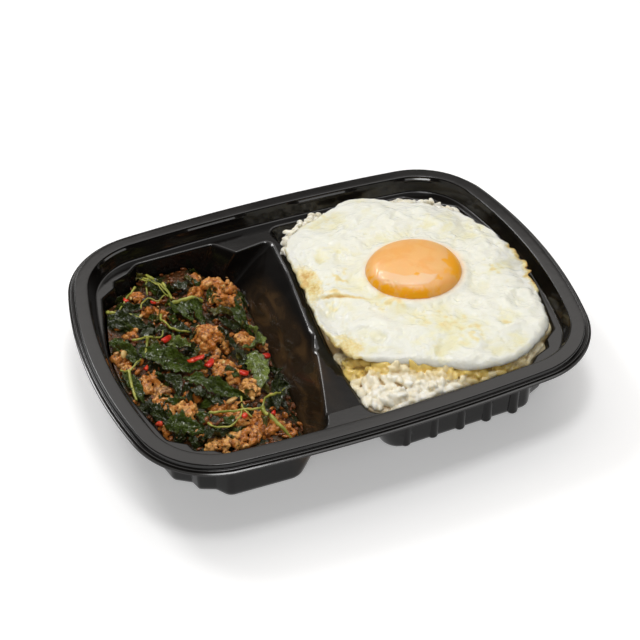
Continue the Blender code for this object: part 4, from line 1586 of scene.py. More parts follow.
@dataclass
class Yolk(Piece):
    """The yolk: a low dome under a film that is torn in places."""

    name: str = "yolk"
    slot: str = "egg_yolk"
    replaces: tuple[str, ...] = ("egg_yolk",)
    columns: int = 216
    rows: int = 96
    shoulder: float = 2.25
    fold: tuple[float, float] = (27.5, -6.0)
    glint: tuple[float, float] = (26.6, 4.6)
    tears: tuple[tuple[float, float, float, float], ...] = (
        (65.6, 7.0, 2.4, 1.0), (65.6, 3.4, 3.2, 1.2), (65.4, -0.6, 3.4, 1.2), (62.2, -1.8, 2.6, 1.0),
        (58.9, -3.9, 2.0, 1.0), (56.8, -2.6, 1.2, 0.7), (63.0, -6.0, 4.0, 0.7), (59.5, -10.5, 4.4, 0.6),
        (40.8, -6.8, 1.3, 1.0), (49.9, -11.8, 1.5, 0.8), (54.5, -8.4, 2.2, 0.45), (32.0, -12.0, 2.6, 0.7),
        (36.0, -15.6, 3.2, 0.9), (41.0, -16.8, 2.8, 0.8), (47.5, -17.0, 3.0, 0.5), (23.6, 8.0, 1.7, 0.6),
        (22.9, 3.2, 1.8, 0.9), (23.4, -1.6, 1.9, 0.9), (25.4, -6.2, 2.0, 0.9), (28.0, -9.2, 2.2, 0.8),
    )
    # The strip, in plan, that carries the painted reflection.
    strip: tuple[tuple[float, float], ...] = (
        (27.4, 3.7), (31.2, -1.6), (35.7, -5.9), (39.2, -6.7), (43.3, -7.2), (46.7, -9.4), (50.1, -9.7),
        (47.3, -12.1), (43.8, -13.3), (38.8, -12.3), (32.6, -9.3), (26.4, -5.3), (25.0, 0.1),
    )

    def __post_init__(self) -> None:
        """Takes the yolk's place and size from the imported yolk."""
        low, high = box_of("egg_yolk")
        self.low, self.high = low, high
        self.centre = (low + high).xy / 2
        self.radius = (high - low).xy / 2
        self.waist = low.z + 1.2

    def place(self, share: float, along: float) -> Vector:
        """A point of the yolk's skin, from the crown over the shoulder to the underside."""
        turn = share * math.tau
        wobble = 1 - 0.012 * (1 + math.sin(2 * turn + 0.6)) - 0.008 * (1 + math.sin(3 * turn + 2.0))
        if along < 0.86:
            lean = along / 0.86 * math.pi / 2
            reach = math.sin(lean) ** (2 / self.shoulder)
            rise = math.cos(lean) ** (2 / self.shoulder)
            z = mix(self.waist, self.high.z, rise)
        else:
            down = (along - 0.86) / 0.14
            reach = 1 - 0.12 * down if down < 0.6 else mix(0.928, 0.0, (down - 0.6) / 0.4)
            z = mix(self.waist, self.low.z, min(1.0, down / 0.6))
        flat = Vector((math.cos(turn) * self.radius.x, math.sin(turn) * self.radius.y)) * reach * wobble
        point = self.centre + flat
        folded = (point - Vector(self.fold)).length
        lump = 0.55 * hump(folded, 3.2) * (0.6 + noise.noise(Vector((point.x, point.y, 0)) / 1.4))
        sag = 0.22 * noise.noise(Vector((point.x, point.y, 3)) / 12.0)
        # The strip of painted reflection also stands a little higher.
        film = 0.10 * self.painted_reflection_strip(point) - 0.08 * min(1.0, self.torn(point))
        rise = lump * smooth(reach * 2) - max(0.0, sag) * smooth(reach * 3)
        return Vector((point.x, point.y, min(self.high.z, z + rise + (film if along < 0.86 else 0.0))))

    def torn(self, point: Vector) -> float:
        """How far the film is torn open at a point, from 0 to about 1."""
        at = Vector((point.x, point.y, 0))
        stirred = point + noise.noise_vector(at / 1.8).xy * 1.6
        return min(1.0, sum(s * hump((stirred - Vector((x, y))).length, r) for x, y, r, s in self.tears))

    def painted_reflection_strip(self, point: Vector) -> float:
        """How far a point lies in the strip that carries a painted reflection of an overhead light."""
        inside = -1e9
        count = len(self.strip)
        for i in range(count):
            a, b = Vector(self.strip[i]), Vector(self.strip[(i + 1) % count])
            along = max(0.0, min(1.0, (point - a).dot(b - a) / (b - a).length_squared))
            inside = max(inside, -(point - a.lerp(b, along)).length)
        crossings = sum(
            (a[1] > point.y) != (b[1] > point.y) and point.x < (b[0] - a[0]) * (point.y - a[1]) / (b[1] - a[1]) + a[0]
            for a, b in zip(self.strip, self.strip[1:] + self.strip[:1])
        )
        return smooth(0.5 + (-inside if crossings % 2 else inside) / 0.8)

    def build(self) -> bpy.types.Object:
        """Makes the yolk."""
        bm = wrapped(self.columns, self.rows, self.place)
        torn = bm.verts.layers.float.new("torn")
        painted_reflection_strip = bm.verts.layers.float.new("painted_reflection_strip")
        gloss = bm.verts.layers.float.new("gloss")
        for vert in bm.verts:
            flat = vert.co.xy
            vert[torn] = self.torn(flat)
            vert[painted_reflection_strip] = self.painted_reflection_strip(flat)
            vert[gloss] = hump((flat - Vector(self.glint)).length, 0.75)
        return self.show(bm, SoftYolk().material())


# ---------------------------------------------------------------------------------------------
# Stir-fry
# ---------------------------------------------------------------------------------------------


class Tone(Enum):
    """A leaf's tone, from dark through green and light to olive, as the tint of its material."""

    DARK = 0.0
    GREEN = 0.35
    LIGHT = 0.65
    OLIVE = 1.0


@dataclass(frozen=True)
class SaucyBed:
    """The mass under the stir-fry's top layer: dark, wet and unevenly brown and green."""

    brown: Colour = (0.075, 0.030, 0.010)
    green: Colour = (0.020, 0.026, 0.006)
    amber: Colour = (0.26, 0.095, 0.022)

    def material(self) -> bpy.types.Material:
        """The mass's material."""
        paint = Paint("Stir-fry under the top layer")
        patches = paint.noise(9, detail=3)
        bits = paint.noise(2.0, detail=3)
        fine = paint.noise(0.7, detail=2)
        colour = paint.blend(patches.rising(0.42, 0.60), self.brown, self.green)
        colour = paint.blend(bits.rising(0.58, 0.76), colour, self.amber)
        return paint.shade(
            Base_Color=colour,
            Roughness=0.14 + fine * 0.25,
            Normal=paint.bump((bits, 0.9), (fine, 0.25)),
            IOR=1.36,
        )


@dataclass(frozen=True)
class BrownedPork:
    """Minced pork fried in a saucy glaze: orange brown and glossy, paler on some clumps and in flecks."""

    glazed: Colour = (0.57, 0.19, 0.028)
    pale: Colour = (0.84, 0.43, 0.12)
    dark: Colour = (0.17, 0.048, 0.009)
    grey: Colour = (0.40, 0.21, 0.09)

    def material(self) -> bpy.types.Material:
        """The pork's material: the tint on its crumbs runs from glazed to pale and grey, and concave places get painted
        shade.
        """
        paint = Paint("Browned minced pork")
        tint = paint.attribute("tint")
        cloud = paint.noise(1.9, detail=3, distortion=0.5)
        fine = paint.noise(0.55, detail=3)
        colour = paint.blend(tint.rising(0.25, 0.75), self.glazed, self.pale)
        colour = paint.blend(tint.rising(0.86, 1.0), colour, self.grey)
        colour = paint.blend(tint.rising(0.10, -0.15), colour, self.dark)
        colour = paint.blend(cloud.rising(0.52, 0.80) * 0.8, colour, self.dark)
        colour = paint.blend(fine.rising(0.60, 0.80) * 0.35, colour, self.pale)
        # Painted shade in the concave places between crumbs.
        colour = paint.blend(paint.attribute("hollow").rising(0.1, 0.9) * 0.85, colour, self.dark)
        return paint.shade(
            Base_Color=colour,
            Roughness=0.16 + fine * 0.26,
            Coat_Weight=cloud.rising(0.35, 0.60) * 0.4,
            Coat_Roughness=0.07,
            Normal=paint.bump((cloud, 0.70), (fine, 0.50)),
            Subsurface_Weight=0.12,
            Subsurface_Radius=(1.0, 0.45, 0.25),
            Subsurface_Scale=0.001,
            IOR=1.42,
        )


@dataclass(frozen=True)
class WiltedBasil:
    """Basil wilted in oil: dark and glossy, with veins that follow each leaf."""

    dark: Colour = (0.025, 0.035, 0.004)
    green: Colour = (0.070, 0.105, 0.010)
    light: Colour = (0.20, 0.26, 0.045)
    olive: Colour = (0.150, 0.130, 0.022)
    vein: Colour = (0.20, 0.25, 0.07)
    burnt: Colour = (0.075, 0.036, 0.010)

    def material(self) -> bpy.types.Material:
        """The leaves' material, which reads each leaf's own UV map."""
        paint = Paint("Wilted basil")
        tint = paint.attribute("tint")
        leaf = paint.node("ShaderNodeUVMap").outputs[0]
        split = paint.node("ShaderNodeSeparateXYZ", {}, {0: leaf})
        along, across = Num(paint, split.outputs[0]), Num(paint, split.outputs[1])
        off = (across - 0.5).math("ABSOLUTE", across - 0.5) * 2.0
        comb = (along * 8.0 - off * 2.2).math("FRACT", along * 8.0 - off * 2.2)
        side = (comb - 0.5).math("ABSOLUTE", comb - 0.5) * 2.0
        veins = side.rising(0.84, 1.0) * off.rising(1.0, 0.15)
        midrib = off.rising(0.09, 0.02)
        ribs = (veins * 0.6 + midrib).held()
        cloud = paint.noise(3.2, detail=3)
        fine = paint.noise(0.8, detail=3, distortion=0.5)
        colour = paint.blend(tint.rising(0.0, 0.4), self.dark, self.green)
        colour = paint.blend(tint.rising(0.4, 0.7), colour, self.light)
        colour = paint.blend(tint.rising(0.8, 1.0), colour, self.olive)
        colour = paint.blend(cloud.rising(0.40, 0.72) * 0.6, colour, self.dark)
        colour = paint.blend(ribs * 0.45, colour, self.vein)
        colour = paint.blend(off.rising(0.82, 1.0) * cloud.rising(0.45, 0.65), colour, self.burnt)
        return paint.shade(
            Base_Color=colour,
            Roughness=0.18 + fine * 0.24,
            Coat_Weight=cloud.rising(0.35, 0.60) * 0.9,
            Coat_Roughness=0.09,
            Coat_IOR=1.45,
            Normal=paint.bump((cloud, 1.6), (fine, 1.1), (ribs, 0.4)),
            IOR=1.34,
        )


@dataclass(frozen=True)
class YoungStem:
    """Basil stems: yellow green, with lime patches and woody flecks."""

    green: Colour = (0.22, 0.24, 0.025)
    lime: Colour = (0.42, 0.41, 0.075)
    woody: Colour = (0.16, 0.11, 0.030)

    def material(self) -> bpy.types.Material:
        """The stems' material."""
        paint = Paint("Basil stem")
        cloud = paint.noise(5.5, detail=2)
        fine = paint.noise(0.8, detail=3)
        colour = paint.blend(cloud.rising(0.35, 0.62), self.green, self.lime)
        colour = paint.blend(fine.rising(0.58, 0.76) * 0.5, colour, self.woody)
        normal = paint.bump((fine, 0.12), (cloud, 0.2))
        return paint.shade(Base_Color=colour, Roughness=0.28 + fine * 0.2, Normal=normal, IOR=1.42)


@dataclass(frozen=True)
class RedChilli:
    """Slices of red chilli: shiny skin, brighter and darker in patches."""

    red: Colour = (0.62, 0.022, 0.012)
    bright: Colour = (0.80, 0.085, 0.030)
    dark: Colour = (0.30, 0.012, 0.008)

    def material(self) -> bpy.types.Material:
        """The chilli's material."""
        paint = Paint("Red chilli")
        cloud = paint.noise(2.4, detail=2)
        fine = paint.noise(0.7, detail=2)
        colour = paint.blend(cloud.rising(0.42, 0.66), self.red, self.bright)
        colour = paint.blend(fine.rising(0.60, 0.78) * 0.5, colour, self.dark)
        normal = paint.bump((cloud, 0.25), (fine, 0.06))
        return paint.shade(Base_Color=colour, Roughness=0.16 + fine * 0.18, Normal=normal, IOR=1.45)


@dataclass(frozen=True)
class FriedGarlic:
    """Chips of garlic and seeds: straw coloured, some tan and flecked with brown."""

    straw: Colour = (0.66, 0.46, 0.16)
    tan: Colour = (0.50, 0.24, 0.07)
    brown: Colour = (0.26, 0.10, 0.03)

    def material(self) -> bpy.types.Material:
        """The chips' material: the tint on each runs from straw to brown."""
        paint = Paint("Fried garlic")
        tint = paint.attribute("tint")
        fine = paint.noise(0.9, detail=3)
        colour = paint.blend(tint.rising(0.1, 0.6), self.straw, self.tan)
        colour = paint.blend((tint * fine * 1.6).rising(0.35, 0.8), colour, self.brown)
        normal = paint.bump((fine, 0.2))
        return paint.shade(Base_Color=colour, Roughness=0.24 + fine * 0.2, Normal=normal, IOR=1.42)


@dataclass(frozen=True)
class Clump:
    """A clump of minced pork: where it lies, how far it reaches and how high it stands."""

    x: float
    y: float
    half_length: float
    half_width: float
    height: float
    tint: float = 0.3

    def dome(self, point: Vector) -> float:
        """How far the clump stands above the bed at a point."""
        away = ((point.x - self.x) / self.half_length) ** 2 + ((point.y - self.y) / self.half_width) ** 2
        return self.height * math.sqrt(1 - away) if away < 1 else 0.0


@dataclass(frozen=True)
class Leaf:
    """A wilted leaf: the line that its midrib follows over the heap, and how it is folded."""

    line: tuple[tuple[float, float, float], ...]
    width: float
    tone: Tone
    fold: float = 0.5
    roll: float = 0.0
    twist: float = 0.4
    crumple: float = 0.8


@dataclass(frozen=True)
class Stem:
    """A stem: the points that it runs through, as x, y and height over the heap, and its radius."""

    line: tuple[tuple[float, float, float], ...]
    radius: float = 0.7


CLUMPS = (
    Clump(-43.5, 52.5, 2.6, 2.6, 4.0), Clump(-38.5, 42.0, 6.8, 7.4, 8.0, 0.45),
    Clump(-32.0, 40.0, 5.0, 5.4, 6.4, 0.35), Clump(-40.0, 32.0, 5.4, 6.0, 6.0, 0.3),
    Clump(-32.0, 30.0, 3.8, 5.4, 5.0, 0.25), Clump(-53.0, 2.5, 9.4, 10.4, 8.6, 0.42),
    Clump(-37.0, 3.0, 4.8, 4.6, 4.0, 0.4), Clump(-29.5, 2.5, 3.4, 3.8, 3.0, 0.25),
    Clump(-57.0, -6.5, 4.6, 5.4, 4.4, 0.35), Clump(-53.5, -17.0, 6.4, 8.6, 5.4, 0.45),
    Clump(-64.0, -14.0, 4.0, 3.8, 4.0, 0.3), Clump(-47.0, -29.5, 4.6, 5.8, 4.8, 0.7),
    Clump(-86.5, -12.5, 5.0, 5.4, 4.6, 0.4), Clump(-82.0, -18.0, 4.4, 4.2, 4.0, 0.95),
    Clump(-84.5, -28.5, 7.0, 7.6, 5.4, 0.5), Clump(-77.5, -34.0, 6.6, 6.4, 5.0, 0.6),
    Clump(-70.0, -24.5, 5.0, 5.2, 3.8, 0.2), Clump(-56.0, -44.0, 5.4, 8.4, 4.8, 0.45),
    Clump(-68.0, -58.0, 9.4, 5.8, 5.2, 0.55), Clump(-57.0, -57.5, 5.0, 5.0, 4.2, 0.35),
    Clump(-47.0, -52.0, 8.6, 8.4, 3.8, 0.2), Clump(-39.5, -56.5, 4.6, 6.0, 3.0, 0.25),
    Clump(-74.0, 48.0, 3.6, 4.6, 3.6, 0.25), Clump(-71.0, 35.0, 3.6, 3.6, 3.2, 0.2),
    Clump(-66.0, 28.5, 3.0, 3.0, 2.8, 0.3), Clump(-75.5, 9.5, 3.8, 3.6, 3.4, 0.3),
    Clump(-88.5, -41.0, 3.0, 3.6, 3.0, 0.2), Clump(-93.0, 9.0, 3.4, 4.4, 3.0, 0.35),
    Clump(-92.0, 1.0, 3.0, 3.2, 3.0, 0.45), Clump(-70.5, -3.0, 4.4, 3.8, 3.2, 0.3),
    Clump(-48.0, 40.0, 4.0, 3.8, 3.0, 0.3), Clump(-84.0, 22.0, 3.4, 3.0, 2.4, 0.3),
    Clump(-62.5, -36.0, 4.0, 3.6, 3.0, 0.25), Clump(-76.0, -47.0, 3.4, 3.4, 2.8, 0.3),
)

LEAVES = (
    Leaf(((-92, 37, 1.5), (-85, 30, 3.0), (-76, 23, 2.2)), 10.9, Tone.DARK, fold=0.35, roll=0.2, crumple=1.1),
    Leaf(((-64, 34, 2.0), (-59, 28, 3.6), (-56, 19, 2.6)), 10.1, Tone.GREEN, fold=0.5, roll=-0.3),
    Leaf(((-55, 33, 2.0), (-51.5, 24, 3.6), (-52, 14, 3.0)), 8.0, Tone.GREEN, fold=0.7, roll=0.4),
    Leaf(((-48, 24, 2.4), (-42, 20.5, 3.4), (-35, 21, 2.6)), 6.3, Tone.OLIVE, fold=0.7, roll=0.2),
    Leaf(((-24, 36, 2.4), (-31, 25, 3.4), (-34, 15, 3.8), (-31, 7, 3.2)), 8.0, Tone.GREEN, 0.8, 0.5, 1.0, 1.2),
    Leaf(((-34, 12, 4.0), (-31, 4, 4.6), (-34, -3, 4.4), (-43, -7, 4.4)), 7.1, Tone.LIGHT, 0.8, -0.3, 1.2, 1.0),
    Leaf(((-72, 9, 2.6), (-67.5, 6, 4.0), (-62, 2, 3.4)), 8.0, Tone.LIGHT, fold=0.6, roll=0.1, crumple=1.3),
    Leaf(((-84, 9, 2.4), (-77, 1, 3.6), (-69, -8, 3.8), (-60, -15, 3.6)), 10.9, Tone.GREEN, 0.5, 0.5, 0.4, 1.0),
    Leaf(((-72, -16, 3.2), (-64, -23, 4.2), (-56, -31, 4.0), (-49, -37, 3.4)), 8.0, Tone.GREEN, 0.6, 0.5, 0.8, 1.0),
    Leaf(((-50, 3, 5.6), (-44.5, -5, 4.6), (-42, -15, 3.8)), 4.6, Tone.DARK, fold=0.8, twist=0.9),
    Leaf(((-41, -9, 3.4), (-38.5, -19, 4.6), (-42, -31, 3.4)), 10.1, Tone.LIGHT, 0.22, 0.35, 0.2, 0.4),
    Leaf(((-31, -17, 2.6), (-34, -30, 3.8), (-41, -46, 3.0)), 10.1, Tone.DARK, 0.6, -0.5, 0.6, 1.2),
    Leaf(((-93, -26, 2.0), (-89, -33, 3.2), (-84, -41, 2.6)), 7.6, Tone.DARK, fold=0.6, roll=0.3),
    Leaf(((-88, -38, 2.4), (-81, -43, 3.8), (-73, -50, 3.0)), 10.9, Tone.GREEN, 0.5, 0.2, 0.5, 1.3),
    Leaf(((-80, -49, 2.2), (-72, -53, 3.2), (-63, -52, 2.4)), 8.4, Tone.DARK, fold=0.5, roll=-0.2, crumple=1.2),
    Leaf(((-73, 64, 2.2), (-68, 62, 4.0), (-63, 57, 3.4)), 5.5, Tone.OLIVE, fold=0.9, roll=0.4, twist=1.0),
    Leaf(((-73, -26, 3.4), (-67, -31, 3.6), (-61, -38, 3.0)), 7.1, Tone.DARK, fold=0.6, roll=-0.4),
    Leaf(((-95, 19, 1.8), (-89, 11, 3.0), (-87, 0, 2.6)), 8.0, Tone.GREEN, fold=0.6, roll=0.4, crumple=1.2),
    Leaf(((-94, -1, 2.0), (-92, -12, 2.8), (-91, -23, 2.2)), 6.3, Tone.GREEN, fold=0.7, roll=0.3),
    Leaf(((-69, 55, 2.0), (-63, 49, 3.4), (-58, 44, 2.6)), 7.1, Tone.DARK, fold=0.6, roll=0.2),
    Leaf(((-61, 46, 2.2), (-54, 44, 3.4), (-47, 45, 2.8)), 8.0, Tone.DARK, fold=0.5, roll=-0.4, crumple=1.1),
    Leaf(((-47, 50, 2.4), (-43, 45, 4.0)), 4.2, Tone.GREEN, fold=0.8, twist=0.8),
    Leaf(((-84, 45, 1.8), (-79, 41, 3.0), (-73, 40, 2.2)), 6.7, Tone.DARK, fold=0.6, roll=0.2),
    Leaf(((-80, 16, 2.0), (-74, 18, 3.2), (-66, 15, 2.6)), 7.1, Tone.DARK, fold=0.5, roll=-0.3),
    Leaf(((-59, 12, 2.6), (-64, 16, 3.0), (-70, 22, 2.2)), 6.7, Tone.DARK, fold=0.5, roll=0.3),
    Leaf(((-46, 14, 2.8), (-41, 11, 3.6), (-36, 12, 2.8)), 6.3, Tone.DARK, fold=0.6, roll=0.3),
    Leaf(((-60, -46, 2.6), (-64, -49, 3.2), (-70, -48, 2.6)), 6.3, Tone.GREEN, fold=0.6, roll=0.2),
    Leaf(((-79, -10, 2.6), (-76, -17, 3.4), (-77, -25, 2.8)), 6.7, Tone.DARK, fold=0.6, roll=-0.2),
)

STEMS = (
    Stem(((-65, 61, 4.6), (-61.5, 52, 5.0), (-60, 44, 4.4), (-60, 37, 3.4)), 0.95),
    Stem(((-65, 58, 4.4), (-67.5, 52, 4.2), (-69, 46, 3.0)), 0.6),
    Stem(((-72, 56, 3.2), (-78, 48.5, 4.0), (-84, 40, 3.4)), 0.65),
    Stem(((-92, 38, 4.0), (-87.5, 37, 4.8), (-83, 34.5, 4.8), (-77, 29, 3.8)), 0.95),
    Stem(((-63, 31.5, 4.8), (-56, 31.5, 5.4), (-47.5, 30.5, 4.6)), 1.1),
    Stem(((-68, 28, 4.8), (-69.5, 22, 5.4), (-67, 16, 5.6), (-62.5, 12, 5.0), (-60, 12, 3.6)), 0.65),
    Stem(((-85, 15.5, 3.6), (-79, 12.5, 5.0), (-73, 12, 5.2), (-71, 15.5, 4.6)), 0.55),
    Stem(((-79, 12, 5.0), (-81, 8, 4.6), (-83, 4, 3.0)), 0.8),
    Stem(((-95, 0, 2.8), (-92, -2.5, 3.8), (-88, 0, 4.2), (-85, 3, 3.4)), 0.55),
    Stem(((-92, -2.5, 3.8), (-93.5, -12, 3.4), (-94, -20, 2.2)), 0.85),
    Stem(((-31, -28, 3.2), (-32.5, -32, 5.2), (-38, -37, 6.4), (-43.5, -40, 6.8), (-46.8, -44, 6.8)), 0.7),
    Stem(((-46.8, -44, 6.8), (-47.5, -48.5, 6.4), (-44, -57, 5.0), (-39.5, -63.5, 3.6)), 1.15),
    Stem(((-69, -41, 5.0), (-62.5, -43.5, 6.2), (-57, -45.5, 6.8), (-47.5, -47, 6.4)), 0.6),
    Stem(((-71, -45, 4.2), (-69, -49, 5.0), (-63.5, -51.5, 5.8), (-58.5, -49, 6.2), (-56, -45, 6.4)), 0.5),
    Stem(((-53.5, -37, 5.2), (-55.5, -45, 6.6), (-53.5, -50, 5.6)), 0.5),
    Stem(((-74.5, 37.5, 3.6), (-73.2, 40.2, 4.4), (-69.3, 40.1, 5.2), (-66.5, 37.8, 5.0), (-60.8, 40.5, 4.8)), 0.4),
    Stem(((-67, 59, 4.8), (-63.8, 52, 5.8), (-61.6, 46, 5.4), (-59.5, 40, 4.2)), 0.5),
    Stem(((-68.5, 60, 4.2), (-66, 53, 5.6), (-63, 46.5, 5.8), (-61.2, 38.5, 4.2)), 0.42),
)

CHILLIES = (
    (-50.6, 8.5, 6.4, 4.0, 3.2, 0.3), (-71.5, 8.5, 5.0, 6.6, 2.6, 2.3), (-64.0, -9.5, 6.0, 7.6, 4.4, 2.7),
    (-59.5, -13.5, 6.2, 5.2, 3.0, 0.3), (-47.0, -22.5, 5.0, 4.0, 3.0, 0.9), (-31.5, -8.0, 4.0, 3.6, 3.0, 1.9),
    (-56.5, -49.5, 6.2, 2.6, 2.0, 0.5), (-79.0, 46.5, 3.8, 3.0, 1.8, 1.2), (-90.0, -39.0, 3.6, 3.4, 2.0, 0.4),
    (-43.0, -47.0, 4.6, 2.4, 1.8, 2.0), (-68.5, 38.0, 3.6, 2.6, 1.6, 0.8), (-85.0, -4.5, 4.2, 2.4, 1.6, 1.1),
)

CHIPS = (
    (-56.3, 11.0, 5.6, 3.4, 0.05), (-91.5, 6.5, 4.6, 4.2, 0.25), (-58.0, -37.5, 5.2, 6.4, 0.40),
    (-94.0, 9.5, 4.2, 2.6, 0.50), (-94.0, 2.0, 4.0, 2.8, 0.55), (-40.0, -37.0, 5.0, 2.6, 0.30),
    (-49.0, -38.5, 5.2, 2.4, 0.35), (-36.5, -13.0, 4.4, 2.2, 0.20), (-76.5, 30.5, 3.6, 2.2, 0.30),
)


@dataclass
class StirFry:
    """A heap of minced pork, wilted basil, stems, chilli and garlic over a saucy mass."""

    tray: Tray
    slot: str = "stir_fry"
    centre: tuple[float, float] = (-64.0, -6.0)
    under_top: float = 3.6
    left_edge: float = 24.4
    back_edge: float = 18.0
    divider_edge: float = 12.0
    crumb: float = 2.1
    voxel: float = 0.38
    loose_count: int = 620
    scrap_count: int = 90
    seed: int = 5
    surface: BVHTree = field(init=False)

    def __post_init__(self) -> None:
        """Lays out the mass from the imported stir-fry's box."""
        low, high = box_of("stir_fry")
        self.low, self.high = low, high
        self.draw = random.Random(self.seed)
        crown = high.z - self.under_top
        self.bed = Bed(self.tray.pork_cup, self.centre, crown, self.edge_height, fall=3.4)

    def edge_height(self, point: Vector) -> float:
        """How high the mass stands against the wall at a point of the opening's edge."""
        outer = mix(self.left_edge, self.back_edge, smooth((point.y - 30) / 30))
        return mix(outer, self.divider_edge, smooth((point.x + 42) / 14))

    def relief(self, point: Vector) -> float:
        """Lumps and hollows of the mass."""
        p = Vector((point.x, point.y, 0))
        return 1.3 * noise.noise(p / 9.0) + 1.3 * noise.noise(p / 3.6) + 0.7 * noise.noise(p / 1.7) - 0.6

    def ground(self, point: Vector) -> tuple[float, Vector]:
        """The height of the mass at a point and the way that it faces."""
        hit, normal, _, _ = self.surface.ray_cast(Vector((point.x, point.y, 60)), Vector((0, 0, -1)))
        if hit is None:
            return self.low.z, Vector((0, 0, 1))
        return hit.z, normal

    def held(self, point: Vector) -> tuple[Vector, float]:
        """The nearest place over the mass, and how far a thing that goes on past its edge climbs the wall."""
        if self.surface.ray_cast(Vector((point.x, point.y, 60)), Vector((0, 0, -1)))[0] is not None:
            return point.xy, 0.0
        edge = self.surface.find_nearest(Vector((point.x, point.y, self.back_edge)))[0].xy
        inner = edge + (Vector(self.centre) - edge).normalized() * 0.6
        return inner, 0.6 * (point.xy - inner).length

    def heap(self, point: Vector) -> float:
        """The height of the mass and of the clumps on it at a point."""
        return self.ground(point)[0] + max(clump.dome(point) for clump in CLUMPS)

    def inside(self, point: Vector) -> bool:
        """Whether a point is clear of the compartment's walls."""
        hit, normal, _, _ = self.surface.ray_cast(Vector((point.x, point.y, 60)), Vector((0, 0, -1)))
        return hit is not None and normal.z > 0.35

    def crumb_shapes(self) -> list[bpy.types.Mesh]:
        """A few knobbly crumbs about one unit across."""
        shapes = []
        for which in range(6):
            bm = bmesh.new()
            bmesh.ops.create_uvsphere(bm, u_segments=8, v_segments=6, radius=0.5)
            for vert in bm.verts:
                bulge = 1 + 0.34 * noise.noise(vert.co * 2.6 + Vector((which * 7, 0, 0)))
                vert.co *= bulge
            shapes.append(template_of(bm, "crumb"))
        return shapes

    def clump_crumbs(self, clump: Clump) -> list[Lay]:
        """The crumbs that make up a clump, packed over its dome."""
        draw = self.draw
        found = []
        area = math.pi * clump.half_length * clump.half_width
        for _ in range(int(area / (self.crumb**2) * 2.7) + 4):
            turn, reach = draw.uniform(0, math.tau), math.sqrt(draw.random())
            rough = 0.92 + 0.16 * noise.noise(Vector((math.cos(turn) * 2, math.sin(turn) * 2, clump.x)))
            away = Vector((math.cos(turn) * clump.half_length, math.sin(turn) * clump.half_width)) * reach * rough
            point = Vector((clump.x, clump.y)) + away
            if not self.inside(point):
                continue
            height, _ = self.ground(point)
            dome = clump.height * math.sqrt(max(0.0, 1 - reach * reach))
            lumps = 1.3 * noise.noise(Vector((point.x, point.y, 1)) / 3.6)
            where = Vector((*point, height + (dome + lumps) * draw.uniform(0.66, 1.0) - 0.5))
            size = self.crumb * draw.choice((0.5, 0.65, 0.8, 1.0, 1.2, 1.5))
            scale = Vector((size * draw.uniform(0.9, 2.0), size * draw.uniform(0.7, 1.05), size * 0.85))
            lean = Vector((away.x, away.y, 3.0)) + Vector([draw.gauss(0, 1.5) for _ in range(3)])
            tint = clump.tint + draw.gauss(0, 0.16)
            found.append((placed(where, lean.normalized(), draw.uniform(0, math.tau), scale), tint))
        return found

    def loose_crumbs(self, count: int) -> list[Lay]:
        """Small crumbs scattered over the whole heap."""
        draw = self.draw
        found = []
        while len(found) < count:
            point = Vector((draw.uniform(self.low.x, self.high.x), draw.uniform(self.low.y, self.high.y)))
            if not self.inside(point):
                continue
            height, normal = self.ground(point)
            size = draw.uniform(1.1, 3.0)
            scale = Vector((size * draw.uniform(1, 1.8), size * draw.uniform(0.6, 1), size * 0.6))
            where = Vector((*point, height + draw.uniform(0.0, 1.3)))
            lean = (normal + Vector([draw.gauss(0, 0.5) for _ in range(3)])).normalized()
            shade = 0.5 * smooth((point.y - 36) / 14)
            found.append((placed(where, lean, draw.uniform(0, math.tau), scale), draw.uniform(-0.6, 0.16) - shade))
        return found

    def pork(self) -> bmesh.types.BMesh:
        """The clumps, fused and roughened and marked where concave for painted shade, with the loose crumbs round them.
        """
        crumbs = [crumb for clump in CLUMPS for crumb in self.clump_crumbs(clump)]
        near = KDTree(len(crumbs))
        for i, (place, _) in enumerate(crumbs):
            near.insert(place.translation, i)
        near.balance()
        bm = fused(copies_of(self.crumb_shapes(), crumbs, self.seed), self.voxel, 0.6)
        tint = bm.verts.layers.float.new("tint")
        hollow = bm.verts.layers.float.new("hollow")
        bm.normal_update()
        for vert in bm.verts:
            # How concave a point is, which the material turns into painted shade.
            around = sum((e.other_vert(vert).co for e in vert.link_edges), Vector()) / len(vert.link_edges)
            vert[hollow] = max(0.0, min(1.0, (around - vert.co).dot(vert.normal) / self.voxel * 4 + 0.2))
            vert[tint] = crumbs[near.find(vert.co)[1]][1] + 0.2 * noise.noise(vert.co / 2.0)
        for vert in bm.verts:
            rough = 0.42 * noise.noise(vert.co / 1.1) + 0.30 * noise.noise(vert.co / 0.6)
            vert.co += vert.normal * rough
        add_to(bm, copies_of(self.crumb_shapes(), self.loose_crumbs(self.loose_count), self.seed))
        return bm

